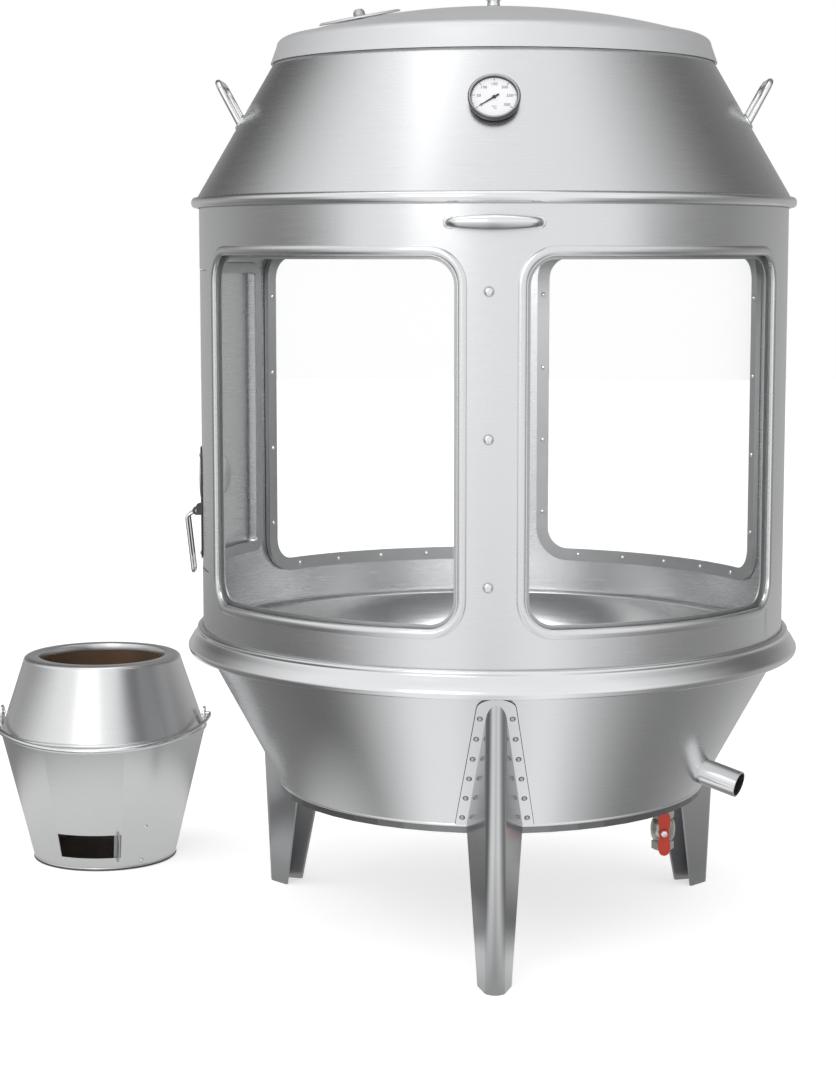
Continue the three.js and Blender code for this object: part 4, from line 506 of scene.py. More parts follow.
clear_glass, tree, where = new_material("clear_glass")
rough = math_node(tree, "MULTIPLY_ADD", noise_node(tree, 7.0, 5.0, where), 0.03, 0.5)
edge_on = add_node(tree, "ShaderNodeLayerWeight", {"Blend": 0.5}).outputs["Facing"]
edge_on = math_node(tree, "POWER", edge_on, 5.0)
facing = math_node(tree, "MULTIPLY_ADD", edge_on, MIRROR_EDGE_ON, MIRROR_FACE_ON)
through = add_node(tree, "ShaderNodeBsdfTransparent", {"Color": CLEAR_TINT}).outputs[0]
mirror = add_node(tree, "ShaderNodeBsdfGlossy", {"Color": MIRROR_TINT, "Roughness": rough}).outputs[0]
mixed = add_node(tree, "ShaderNodeMixShader", {0: facing, 1: through, 2: mirror}).outputs[0]
add_node(tree, "ShaderNodeOutputMaterial", {"Surface": mixed})
dull_steel = brushed_metal("dull_steel", (0.5, 0.505, 0.51), 0.42)
for side, centre in WINDOWS.items():
    pane = bent_panel(centre, WINDOW_SHAPE, PANE_INSET, *PANE_FACES)
    add_piece("pane_" + side, pane, clear_glass, "oven", ["window_glass_" + side])
    held = swept_edge(centre, WINDOW_SHAPE, FRAME_SECTION)
    add_piece("pane_frame_" + side, held, dull_steel, "oven", ["window_frame_" + side])


# Rolled rings: polished stainless, drawn over the drum's two edges and spot welded.
# The upper one caps the drum and seats the hood. The lower one joins drum and bowl with two beads and a cove.
polished_steel = brushed_metal("polished_steel", (0.8, 0.805, 0.815), 0.14, 0.08, 500.0)
RING_INSIDE = 430.3
TOP_RING = (441.2, 1063.4, 1078)
outer, low, high = TOP_RING
top_ring = [(RING_INSIDE, low)]
for turn in spaced(-math.pi / 2, math.pi / 2, 16):
    out = RING_INSIDE + (outer - RING_INSIDE) * (0.45 + 0.55 * math.cos(turn) ** 0.8)
    top_ring.append((out, low + (high - low) * (0.5 + 0.5 * math.sin(turn))))
top_ring += [(412, high), (412, 1075), (RING_INSIDE, 1075)]
add_piece("top_rim", turned(top_ring, ROUND_STEPS), polished_steel, "oven", ["top_ring"])


def bead_arc(across, level, wide, high, turns):
    # Like arc, but the turns are counted from straight down.
    return [(across + wide * math.sin(turn), level - high * math.cos(turn)) for turn in turns]


base_ring = [(425.3, 415.5), (RING_INSIDE, 415.5), (446, 415.6)]
base_ring += bead_arc(447, 422.4, 5.2, 6.8, (0.3, 0.7, 1.1, 1.57, 2.0, 2.4))
base_ring += [(449.6, 429), (448.4, 431), (446.4, 434.5), (443, 439), (439.8, 443), (438.4, 445)]
base_ring += bead_arc(435.5, 448.2, 3.4, 3.7, (0.9, 1.3, 1.7, 2.1, 2.6, 3.0))
base_ring += [(RING_INSIDE, 452), (RING_INSIDE, 434), (404, 434), (404, 432), (434.2, 432)]
add_piece("base_rim", turned(base_ring, ROUND_STEPS), polished_steel, "oven", ["base_ring"])


# Shadow seams: where the two rings meet the drum, a thin line of dull steel runs all round.
# Its darker colour paints the shade at each ring's edge, as well as the joint.
def line_section(inside, outside, low, high):
    return [(inside, low), (outside, low), (outside, high), (inside, high)]


for name, low, high in (("top", 1062.1, 1063.5), ("base", 451.8, 453.3)):
    seam = line_section(DRUM_RADIUS - 0.2, DRUM_RADIUS + 1.3, low, high)
    add_piece(name + "_seam", turned(seam, ROUND_STEPS), dull_steel, "oven")


# Bowl: a brushed cone under the drum with a rolled lip at its foot, and a flat floor plate inside the lip.
# The floor plate carries the fire pot; the oil pipe passes through the cone's wall.
BOWL_FLARE = 0.538
BOWL_GAUGE = (341.3, 260.4)
PIPE_AZIMUTH = 63
PIPE_RADIUS = 19
PIPE_WALL = 2
SPOUT_DISTANCE = 293.25


def bowl_radius(height):
    radius, level = BOWL_GAUGE
    return radius + BOWL_FLARE * (height - level)


def rounded_path(corners, reach, steps):
    # A path through corners, each rounded off over a reach in metres.
    path = [corners[0]]
    for before, corner, after in zip(corners, corners[1:], corners[2:]):
        near = corner + (before - corner).normalized() * reach
        far = corner + (after - corner).normalized() * reach
        for share in spaced(0, 1, steps):
            path.append(near * (1 - share) ** 2 + corner * (2 * share * (1 - share)) + far * share ** 2)
    path.append(corners[-1])
    return path


def rod_mesh(path, radius, sides=20):
    # A round bar along a path; the radius is one value or one for each point.
    radii = radius if isinstance(radius, list) else [radius] * len(path)
    points = []
    side = None
    for k, point in enumerate(path):
        tangent = (path[min(k + 1, len(path) - 1)] - path[max(k - 1, 0)]).normalized()
        if side is None:
            side = tangent.orthogonal()
        side = (side - tangent * side.dot(tangent)).normalized()
        other = tangent.cross(side)
        for turn in spaced(0, 2 * math.pi, sides)[:-1]:
            points.append(point + (side * math.cos(turn) + other * math.sin(turn)) * radii[k] * MM)
    return new_mesh("rod", points, loop_faces(len(path), sides) + end_faces(len(path), sides))


# The floor plate's dark colour is painted shade under the bowl's lip.
floor_steel = brushed_metal("floor_steel", (0.26, 0.262, 0.265), 0.4, 0.12)
pipe_path = rounded_path([
    on_drum(SPOUT_DISTANCE, PIPE_AZIMUTH, 296),
    on_drum(SPOUT_DISTANCE, PIPE_AZIMUTH, 271),
    on_drum(398, PIPE_AZIMUTH, 244),
], 22 * MM, 12)
bowl = [
    (433.4, 431.7), (430.9, 431.7), (313.6, 213), (314.2, 212.4), (316.4, 212.4), (317.6, 213),
    (318.3, 214.2), (318.1, 215.6), (317.7, 216.6),
]
bowl_mesh = cut_out(turned(bowl, ROUND_STEPS), [rod_mesh(pipe_path, PIPE_RADIUS + 0.3)])
add_piece("bowl_cone", bowl_mesh, brushed_steel, "oven", ["bowl"])
dress(floor_steel, "bowl_floor")


# Oil pipe: a polished stainless tube from under the drip pan's spout, bent and welded into the bowl's wall.
# It falls toward its open end, which is cut square.
END_REACH = 0.03
above = pipe_path[0] + (pipe_path[0] - pipe_path[1]).normalized() * END_REACH
beyond = pipe_path[-1] + (pipe_path[-1] - pipe_path[-2]).normalized() * END_REACH
bore_path = [above] + pipe_path[1:-1] + [beyond]
tube = cut_out(rod_mesh(pipe_path, PIPE_RADIUS, 40), [rod_mesh(bore_path, PIPE_RADIUS - PIPE_WALL, 40)])
add_piece("oil_tube", tube, polished_steel, "oven", ["oil_pipe"])


# Legs: brushed sheet folded round a nose into a channel that narrows to the foot, cut to the bowl's slope.
# Each has a flange on the bowl, outlined by a dark sheet of painted shadow, and two rows of domed rivets hold
# it.
# The colour is darkened toward the feet as painted shade.
LEG_AZIMUTHS = {"leg_front": 1, "leg_rear_right": 121, "leg_rear_left": 241}
LEG_NOSE = 15
LEG_SHEET = 3
LEG_FLARE = math.radians(16.4)
LEG_FOOT = 0
LEG_TOP = 404
LEG_LEVELS = [(LEG_FOOT, 400, 358), (212.4, 411.04, 318.5), (LEG_TOP, 421, 318.5)]
HOLLOW_REACH = 8
BOWL_SPACE = [(0, 203.1), (315.9, 203.1), (315.9, 212.4), (434.1, 432.2), (0, 432.2)]
FLANGE_FOOT = 216
FLANGE_SHOULDER = 399
FLANGE_FOOT_HALF = 54
FLANGE_SHOULDER_HALF = 26
FLANGE_ROUND = (0.35, 0.7, 1.0, 1.25, 1.45)
RIVET_FOOT = 228
RIVET_PITCH = 31
RIVETS_IN_ROW = 6
RIVET_LIFT = 2.8
RIVET_FOOT_HALF = 46.5
RIVET_NARROWING = 27


def leg_section(nose, back, inset):
    # Half sheet lines of the channel at one level: across, and out from the oven's axis.
    centre = nose - LEG_NOSE
    turns = spaced(LEG_FLARE - math.pi / 2, math.pi / 2 - LEG_FLARE, 20)
    points = [((LEG_NOSE - inset) * math.sin(t), centre + (LEG_NOSE - inset) * math.cos(t)) for t in turns]
    wide = points[-1][0] + (points[0][1] - back) * math.tan(LEG_FLARE)
    return [(-wide, back)] + points + [(wide, back)]


def leg_points(azimuth, height, section):
    turn = math.radians(azimuth)
    points = []
    for across, out in section:
        points.append(Vector((
            (AXIS_X + out * math.sin(turn) + across * math.cos(turn)) * MM,
            (AXIS_Y - out * math.cos(turn) + across * math.sin(turn)) * MM,
            height * MM,
        )))
    return points


def lofted(sections):
    count = len(sections[0])
    points = [point for section in sections for point in section]
    return new_mesh("lofted", points, end_faces(len(sections), count) + loop_faces(len(sections), count))


def sheet_mesh(rows):
    # A thin sheet from rows of (inner, outer) point pairs.
    columns = len(rows[0])
    points = [point for row in rows for pair in row for point in pair]

    def at(row, column, side):
        return 2 * (row * columns + column) + side

    faces = []
    for r in range(len(rows) - 1):
        for c in range(columns - 1):
            for side in (0, 1):
                faces.append((at(r, c, side), at(r, c + 1, side), at(r + 1, c + 1, side), at(r + 1, c, side)))
        for c in (0, columns - 1):
            faces.append((at(r, c, 0), at(r + 1, c, 0), at(r + 1, c, 1), at(r, c, 1)))
    for c in range(columns - 1):
        for r in (0, len(rows) - 1):
            faces.append((at(r, c, 0), at(r, c + 1, 0), at(r, c + 1, 1), at(r, c, 1)))
    return new_mesh("sheet", points, faces)


def rivet_mesh(place, radius, height):
    return turned([(0, 0)] + arc(0, 0, radius, height, spaced(0, math.pi / 2, 6)), 20, place)


# Painted shade darkens the legs' colour toward the feet.
leg_steel = brushed_metal("leg_steel", (0.6, 0.605, 0.615), 0.17, 0.08, 700.0, upright=True,
                          painted_low_shade=(0.03, 0.2, 0.6))
dark_steel = brushed_metal("dark_steel", (0.09, 0.09, 0.095), 0.4, 0.15, 300.0, 0.7)
SIDES = (("left", -1), ("right", 1))
# The second part is a thin dark sheet just past the flange's edge: painted shadow of the flange.
FLANGE_PARTS = [("flange", 0, 0.35, 2.5, brushed_steel), ("seam", 1.1, 0.1, 0.35, dark_steel)]
bowl_lean = -math.degrees(math.atan(BOWL_FLARE))
for name, azimuth in LEG_AZIMUTHS.items():
    outer = []
    inner = []
    for height, nose, back in LEG_LEVELS:
        outer.append(leg_points(azimuth, height, leg_section(nose, back, 0)))
        past_end = {LEG_FOOT: -HOLLOW_REACH, LEG_TOP: HOLLOW_REACH}.get(height, 0)
        hollow = [(x, y - (HOLLOW_REACH if y == back else 0)) for x, y in leg_section(nose, back, LEG_SHEET)]
        inner.append(leg_points(azimuth, height + past_end, hollow))
    channel = cut_out(lofted(outer), [lofted(inner), turned(BOWL_SPACE, ROUND_STEPS)])
    add_piece(name + "_channel", channel, leg_steel, "oven", [name], slot="brushed_steel")
    for part, wider, lift, thick, material in FLANGE_PARTS:
        shoulder = FLANGE_SHOULDER_HALF + wider
        rows = []
        for share in spaced(0, 1, 12):
            half = FLANGE_FOOT_HALF + wider - (FLANGE_FOOT_HALF - FLANGE_SHOULDER_HALF) * share
            rows.append((FLANGE_FOOT + (FLANGE_SHOULDER - FLANGE_FOOT) * share, half))
        rows += [(FLANGE_SHOULDER + shoulder / 2 * math.sin(t), shoulder * math.cos(t)) for t in FLANGE_ROUND]
        sheet = []
        for height, half in rows:
            radius = bowl_radius(height) + lift
            turns = [azimuth + math.degrees(half / radius) * share for share in spaced(-1, 1, 16)]
            sheet.append([(on_drum(radius, t, height), on_drum(radius + thick, t, height)) for t in turns])
        add_piece(f"{name}_{part}", sheet_mesh(sheet), material, "oven")
    for side, direction in SIDES:
        for step in range(RIVETS_IN_ROW):
            height = RIVET_FOOT + step * RIVET_PITCH
            share = (height - FLANGE_FOOT) / (FLANGE_SHOULDER - FLANGE_FOOT)
            half = RIVET_FOOT_HALF - RIVET_NARROWING * share
            radius = bowl_radius(height) + RIVET_LIFT
            seat = seat_frame(radius, azimuth + direction * math.degrees(half / radius), height, bowl_lean)
            rivet = f"{name}_rivet_{side}_{step}"
            add_piece(rivet, rivet_mesh(seat, 3.3, 2), dull_steel, "oven")
            # A thin dark ring round each rivet's foot paints the shadow at its edge.
            ring = line_section(2.6, 4, 0, 0.35)
            add_piece(rivet + "_ring", turned(ring, 20, seat), dark_steel, "oven")


# Hood: a brushed cone, rolled and seam welded. It rests loose on the top ring by a foot flange, and a
# collar centres it.
HOOD_FLARE = 0.585
HOOD_GAUGE = (333.3, 1247)
HOOD_FOOT = 1078.3
HOOD_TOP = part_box("hood")[1].z / MM
COLLAR_FOOT = 1067.3


def hood_radius(height):
    radius, level = HOOD_GAUGE
    return radius + HOOD_FLARE * (level - height)


hood_lean = math.degrees(math.atan(HOOD_FLARE))
cone = [
    (411.7, COLLAR_FOOT),
    (411.7, HOOD_FOOT),
    (hood_radius(HOOD_FOOT) - 0.6, HOOD_FOOT),
    (hood_radius(HOOD_FOOT), HOOD_FOOT + 0.6),
    (hood_radius(HOOD_TOP), HOOD_TOP),
    (hood_radius(HOOD_TOP) - 2.3, HOOD_TOP),
    (hood_radius(HOOD_FOOT) - 14, HOOD_FOOT + 20),
    (409.7, HOOD_FOOT + 2),
    (409.7, COLLAR_FOOT),
]
add_piece("hood_cone", turned(cone, ROUND_STEPS), brushed_steel, "hood", ["hood"])


# Hood handles: polished bent rods welded to round pads on the cone, one at each side.
# They stand up and away from the cone, so that the hood can be lifted off hot.
GRIP_HEIGHT = 1186
GRIP_HALF = 48
GRIP_CORNERS = [(-GRIP_HALF, -2, -2), (-GRIP_HALF, 58, 30), (GRIP_HALF, 58, 30), (GRIP_HALF, -2, -2)]
GRIP_PAD = [(0, -2), (12, -2), (12, 1.2), (10.5, 2.6), (7, 3), (0, 3)]
for side, azimuth in (("left", -90), ("right", 90)):
    radius = hood_radius(GRIP_HEIGHT)
    foot = seat_frame(radius, azimuth, GRIP_HEIGHT)
    path = rounded_path([foot @ (Vector(corner) * MM) for corner in GRIP_CORNERS], 20 * MM, 12)
    add_piece("hood_grip_" + side, rod_mesh(path, 4.6), polished_steel, "hood", ["hood_handle_" + side])
    for end, direction in (("front", -1), ("rear", 1)):
        turn = math.degrees(direction * GRIP_HALF / radius)
        pad = turned(GRIP_PAD, 40, seat_frame(radius, azimuth + turn, GRIP_HEIGHT, hood_lean))
        add_piece(f"hood_pad_{side}_{end}", pad, polished_steel, "hood")


# Lid: a satin dome spun in one piece with a round shoulder and a skirt that drops over the hood's edge.
# The skirt's edge is hemmed inward. The lid lies loose and is lifted by a polished knob.
LID_ROUND = (291.9, 1294.8, 23.6, 14.2)
LID_DOME = (1309, 41)
LID_SHEET = 1.6
SKIRT_TOP = 315
SKIRT_HEM = [(322, 1272.6), (320.7, 1272.3), (320.3, 1271.4), (320.4, 1270.6), (321, 1270.2)]
VENT_DISTANCE = 214
VENT_AZIMUTH = -62
VENT_HOLE_RADIUS = 14
VENT_HOLE_DISTANCE = 38


def lid_height(radius):
    # The crown's height inside the round shoulder.
    return LID_DOME[0] + LID_DOME[1] * (1 - (radius / LID_ROUND[0]) ** 2)


def shift(across, deep, high):
    return Matrix.Translation((across * MM, deep * MM, high * MM))


outside = [(324.2, 1270.2), (323.6, 1272.4), (315.5, 1294.8)]
outside += arc(*LID_ROUND, spaced(0, math.pi / 2, 12)[1:])
crown = [LID_ROUND[0] * share for share in spaced(1, 0, 24)[1:]]
outside += [(radius, lid_height(radius)) for radius in crown]
inside = []
for radius, height in outside[:1:-1]:
    in_skirt = radius > SKIRT_TOP
    inside.append((radius - LID_SHEET, height) if in_skirt else (radius, height - LID_SHEET))
vent_slope = 2 * LID_DOME[1] * VENT_DISTANCE / LID_ROUND[0] ** 2
vent_tilt = 90 - math.degrees(math.atan(vent_slope))
vent_seat = seat_frame(VENT_DISTANCE, VENT_AZIMUTH, lid_height(VENT_DISTANCE), vent_tilt)


def vent_cutters(turn_on):
    # Four round holes about the vent's pin, turned on by a share of their spacing.
    cutters = []
    for copy in range(4):
        turn = 2 * math.pi * (copy + turn_on) / 4
        place = shift(VENT_HOLE_DISTANCE * math.cos(turn), VENT_HOLE_DISTANCE * math.sin(turn), 0)
        cutters.append(turned(line_section(0, VENT_HOLE_RADIUS, -16, 16), 32, vent_seat @ place))
    return cutters


lid_steel = brushed_metal("lid_steel", (0.74, 0.745, 0.755), 0.46, 0.12, metallic=0.6)
lid = cut_out(turned(outside + inside + SKIRT_HEM, ROUND_STEPS), vent_cutters(0.5))
add_piece("lid_dome", lid, lid_steel, "lid", ["dome_lid", "lid_rim"], slot="brushed_steel")
knob = [(0, 1344.4), (4, 1344.4), (4, 1350.3), (13.5, 1350.3), (12.6, 1352), (9.4, 1355.5), (9, 1360)]
knob += [(9.6, 1363)]
knob += bead_arc(12.5, 1373, 2.5, 9, (0.3, 0.9, 1.57, 2.2, 2.8))
knob += [(9, 1382.1), (0, 1382.3)]
add_piece("lid_grip", turned(knob, 64), polished_steel, "lid", ["lid_knob"])


# Vent: a pierced satin disc with a rolled edge, turned by a dark knob on its pin.
# Its four holes turn over the lid's four, so that smoke is held back or let out.
VENT_DISC = [(0, 1.6), (54, 1.6), (56.6, 0.6), (58, 0.2), (58.8, 1), (57.6, 2.6), (55, 3.6), (0, 3.6)]
VENT_KNOB = [
    (0, -10), (11, -10), (11, -8), (4, -8), (4, 3.7), (8.2, 3.8), (8.6, 6), (7.6, 10), (5, 13), (0, 13.8),
]
disc = cut_out(turned(VENT_DISC, 96, vent_seat), vent_cutters(0))
add_piece("vent_disc", disc, lid_steel, "vent", ["vent_cover"], slot="brushed_steel")
knob = turned(VENT_KNOB, 40, vent_seat)
add_piece("vent_turn_knob", knob, dull_steel, "vent", ["vent_knob"], slot="dark_steel")


# Thermometer: a dark case with a rolled bezel, a pale printed dial, a black needle and a flat lens.
# Its probe passes through the hood's cone and is clamped by a nut inside.
DIAL_HEIGHT = 1197
DIAL_AZIMUTH = 0.2
DIAL_TOP = 7.52
DIAL_SWEEP = 250
DIAL_SPAN = 300
LONG_TICK = (25.4, 30, 0.38)
SHORT_TICK = (28, 30, 0.17)
SCALE_LINE = (29.8, 30.1)
SCALE_STEPS = 60
PRINT_HALF = 0.06
NUMBER_DISTANCE = 20.4
NUMBER_SIZE = 5.8
UNIT_SIZE = 6.4
UNIT_LEVEL = -16


def spin(degrees, axis):
    return Matrix.Rotation(math.radians(degrees), 4, axis)


def speckled(name, colour, roughness, spread=0.06, scale=60.0, grain=0.05):
    # Paint and print: one colour with a slow drift and a fine grain.
    material, tree, where = new_material(name)
    slow = noise_node(tree, scale / 8, 3.0, where)
    fine = noise_node(tree, scale * 12, 2.0, where)
    tone = blend(tree, slow, tinted(colour, 1 - spread), tinted(colour, 1 + spread))
    rough = math_node(tree, "MULTIPLY_ADD", fine, 0.12, roughness - 0.06)
    finish_material(tree, tone, rough, fine, grain, 0.0005)
    return material


def mark_mesh(name, outlines, place, thickness=0.12):
    # Flat marks with a thickness: each outline is a list of (across, up) points.
    points = []
    faces = []
    for outline in outlines:
        first = len(points)
        points += [place @ (Vector((x, y, z)) * MM) for z in (0, thickness) for x, y in outline]
        for face in end_faces(2, len(outline)) + loop_faces(2, len(outline)):
            faces.append([first + k for k in face])
    mesh = bpy.data.meshes.new(name)
    mesh.from_pydata(points, [], faces)
    mesh.update()
    return mesh


def curve_mesh(curve, place):
    # The mesh of a filled curve, through a passing object.
    passing = bpy.data.objects.new("passing", curve)
    bpy.context.scene.collection.objects.link(passing)
    bpy.context.view_layer.update()
    mesh = bpy.data.meshes.new_from_object(passing.evaluated_get(bpy.context.evaluated_depsgraph_get()))
    bpy.data.objects.remove(passing)
    mesh.transform(place)
    return mesh


def text_mesh(words, height, across, up):
    # Words printed on the dial, centred on a place.
    curve = bpy.data.curves.new("words", "FONT")
    curve.body = words
    curve.size = height * MM
    curve.align_x = "CENTER"
    curve.align_y = "CENTER"
    curve.extrude = PRINT_HALF * MM
    return curve_mesh(curve, dial_seat @ shift(across, up, DIAL_TOP + PRINT_HALF))


def dial_turn(degrees_shown):
    return math.radians(DIAL_SWEEP / 2 - DIAL_SWEEP * degrees_shown / DIAL_SPAN)


dial_seat = seat_frame(hood_radius(DIAL_HEIGHT), DIAL_AZIMUTH, DIAL_HEIGHT, hood_lean)
case = [
    (4.3, 0.9), (31, 0.9), (33, 1.6), (34.2, 4), (34.7, 8), (34.7, 10.4), (33.9, 10.6), (33.4, 8.6),
    (31.5, 8.6), (31.5, 3.9), (4.3, 3.9),
]
add_piece("dial_case", turned(case, 96, dial_seat), dark_steel, "hood", ["thermometer_case"])
bezel = [
    (31.4, 8.7), (33.3, 8.7), (33.7, 10.4), (33.5, 11.8), (32.9, 12.7), (32.2, 12.8), (31.5, 12.3),
    (31.2, 11.5),
]
add_piece("dial_bezel", turned(bezel, 96, dial_seat), dull_steel, "hood")
inner_ring = line_section(30.3, 31.3, 7.6, 8.4)
add_piece("dial_inner_ring", turned(inner_ring, 96, dial_seat), dark_steel, "hood")
dial_white = speckled("dial_white", (0.9, 0.89, 0.91), 0.42)
dial_black = speckled("dial_black", (0.03, 0.03, 0.035), 0.45)
plate = line_section(2.3, 31.2, 6.4, 7.5)
add_piece("dial_plate", turned(plate, 96, dial_seat), dial_white, "hood", ["thermometer_dial"])
ticks = []
for shown in range(0, DIAL_SPAN + 1, 10):
    near, far, half = LONG_TICK if shown % 50 == 0 else SHORT_TICK
    turn = dial_turn(shown)
    out = Vector((-math.sin(turn), math.cos(turn)))
    side = Vector((out.y, -out.x))
    corners = [(near, -half), (far, -half), (far, half), (near, half)]
    ticks.append([out * along + side * across for along, across in corners])
near, far = SCALE_LINE
for step in range(SCALE_STEPS):
    start, end = [dial_turn(DIAL_SPAN * (step + k) / SCALE_STEPS) for k in (0, 1)]
    corners = [(near, start), (near, end), (far, end), (far, start)]
    ticks.append([(-math.sin(turn) * radius, math.cos(turn) * radius) for radius, turn in corners])
ticks_mesh = mark_mesh("dial_ticks", ticks, dial_seat @ shift(0, 0, DIAL_TOP))
add_piece("dial_ticks", ticks_mesh, dial_black, "hood", slot="needle_black")
for shown in range(0, DIAL_SPAN + 1, 50):
    turn = dial_turn(shown)
    across, up = -math.sin(turn) * NUMBER_DISTANCE, math.cos(turn) * NUMBER_DISTANCE
    number = text_mesh(str(shown), NUMBER_SIZE, across, up)
    add_piece(f"dial_number_{shown}", number, dial_black, "hood", slot="needle_black")
unit = text_mesh("°C", UNIT_SIZE, 0, UNIT_LEVEL)
add_piece("dial_unit", unit, dial_black, "hood", slot="needle_black")
blade = [(-1.2, -7), (-0.7, -7.6), (0.7, -7.6), (1.2, -7), (1.1, 4), (0.35, 24), (-0.35, 24), (-1.1, 4)]
needle = mark_mesh("dial_needle", [blade], dial_seat @ spin(DIAL_SWEEP / 2, "Z") @ shift(0, 0, 7.9), 0.8)
add_piece("dial_needle", needle, dial_black, "needle", ["thermometer_needle"], slot="needle_black")
hub = [(0, 7.85), (2.6, 7.85), (2.6, 9), (2, 9.5), (0, 9.6)]
add_piece("dial_hub", turned(hub, 32, dial_seat), dial_black, "needle", slot="needle_black")
lens = line_section(0, 31.2, 9.8, 11.4)
add_piece("dial_lens", turned(lens, 96, dial_seat), clear_glass, "hood", ["thermometer_lens"])
probe = [(0, -95), (2.6, -95), (3.7, -93.4), (4, -91), (4, 6.2), (0, 6.2)]
add_piece("dial_probe", turned(probe, 40, dial_seat), polished_steel, "hood", ["thermometer_probe"])
nut = [(4, -12), (10.2, -12), (11, -11.3), (11, -6.7), (10.2, -6), (4, -6)]
add_piece("dial_probe_nut", turned(nut, 6, dial_seat), polished_steel, "hood")


# Front bar handle: a polished tube that swells in the middle, on two round bosses under the top ring.
# Its underside is darkened as painted shade.
BAR_HEIGHT = 1038
BAR_AZIMUTH = 0.3
BAR_HALF = 58
BAR_END_RADIUS = 6
BAR_SWELL = 4
BAR_CORNERS = [(-BAR_HALF, 0, -1), (-BAR_HALF, 0, 20), (0, 0, 24), (BAR_HALF, 0, 20), (BAR_HALF, 0, -1)]


def divided(path, step):
    # More points along a path, so that a changing radius stays smooth.
    fine = [path[0]]
    for start, end in zip(path, path[1:]):
        parts = max(1, round((end - start).length / (step * MM)))
        fine += [start.lerp(end, (k + 1) / parts) for k in range(parts)]
    return fine


bar_seat = seat_frame(DRUM_RADIUS, BAR_AZIMUTH, BAR_HEIGHT)
bar_path = divided(rounded_path([Vector(corner) * MM for corner in BAR_CORNERS], 13 * MM, 14), 4)
radii = [BAR_END_RADIUS + BAR_SWELL * max(0, 1 - (point.x / (BAR_HALF * MM)) ** 2) for point in bar_path]
bar = rod_mesh([bar_seat @ point for point in bar_path], radii, 28)
# Painted shade darkens the bar's colour on its underside.
bar_steel = brushed_metal("bar_steel", (0.8, 0.805, 0.815), 0.14, 0.08, 500.0, painted_low_shade=(1.031, 1.039, 0.36))
add_piece("bar_handle", bar, bar_steel, "oven", ["front_handle"], slot="polished_steel")
boss = [(0, -2), (8.5, -2), (8.5, 3.6), (8.1, 4.6), (7.2, 5), (6, 5.4), (0, 5.4)]
for side, direction in SIDES:
    seat = seat_frame(DRUM_RADIUS, BAR_AZIMUTH + along_drum(direction * BAR_HALF), BAR_HEIGHT)
    add_piece("bar_boss_" + side, turned(boss, 40, seat), polished_steel, "oven")


# Screws of the windows: pan heads with washers on the front post, and rows of domed heads along the
# retaining frames inside.
POST_SCREWS = {"upper": 949, "middle": 757, "lower": 562}
POST_AZIMUTH = -0.6
SLOT_TURN = 34.3775
FRAME_INSET = 8


def screw_mesh(place, radius, height):
    # A rounded head with a cross slot.
    turns = spaced(0, math.pi / 2, 8)
    head = [(0, 0)] + [(radius * math.cos(turn) ** 0.6, height * math.sin(turn)) for turn in turns]
    long, wide = radius * 0.6, radius * 0.12
    slot = [(-long, -wide), (long, -wide), (long, wide), (-long, wide)]
    middle = place @ shift(0, 0, height * 0.45)
    slots = [mark_mesh("slot", [slot], middle @ spin(turn, "Z"), height) for turn in (0, 90)]
    return cut_out(turned(head, 28, place), slots)


for level, height in POST_SCREWS.items():
    seat = seat_frame(DRUM_RADIUS, POST_AZIMUTH, height)
    add_piece("post_screw_" + level, screw_mesh(seat @ spin(SLOT_TURN, "Z"), 6, 3), polished_steel, "oven")
    washer = line_section(4, 7.4, 0, 0.5)
    add_piece("post_washer_" + level, turned(washer, 40, seat), dull_steel, "oven")
half = WINDOW_SHAPE[0] / 2 - FRAME_INSET
low = WINDOW_SHAPE[1] + FRAME_INSET
high = WINDOW_SHAPE[2] - FRAME_INSET
spots = [(end * half, low + (high - low) * share) for end in (-1, 1) for share in (0.14, 0.38, 0.62, 0.86)]
spots += [(half * share, level) for level in (low, high) for share in (-0.72, -0.36, 0, 0.36, 0.72)]
for side, centre in WINDOWS.items():
    for number, (along, height) in enumerate(spots):
        inward = seat_frame(FRAME_FACE, centre + along_drum(along), height) @ spin(180, "X")
        add_piece(f"frame_screw_{side}_{number}", rivet_mesh(inward, 3.6, 2.2), polished_steel, "oven")


# Drain valve: nickelled brass body with hexagon ends under the floor, and its red butterfly lever.
# The nipple above screws through the floor and is locked by a nut.
VALVE_AXIS = (262, 20, 129)
THREAD_RIDGES = 12


def plate_mesh(outline, thickness, edge, place):
    # A flat plate cut to an outline, with its edges rounded over.
    curve = bpy.data.curves.new("plate", "CURVE")
    curve.dimensions = "2D"
    curve.fill_mode = "BOTH"
    spline = curve.splines.new("POLY")
    spline.points.add(len(outline) - 1)
    for point, (x, y) in zip(spline.points, outline):
        point.co = (x * MM, y * MM, 0, 1)
    spline.use_cyclic_u = True
    curve.extrude = (thickness / 2 - edge) * MM
    curve.bevel_depth = edge * MM
    curve.offset = -edge * MM
    curve.bevel_resolution = 3
    return curve_mesh(curve, place)


def bezier_points(start, first, second, end, steps=14):
    # Points along a curve that is pulled toward two others, without the last one.
    points = []
    for t in spaced(0, 1, steps)[:-1]:
        weights = ((1 - t) ** 3, 3 * t * (1 - t) ** 2, 3 * t * t * (1 - t), t ** 3)
        pairs = list(zip(weights, (start, first, second, end)))
        points.append(tuple(sum(weight * point[k] for weight, point in pairs) for k in (0, 1)))
    return points


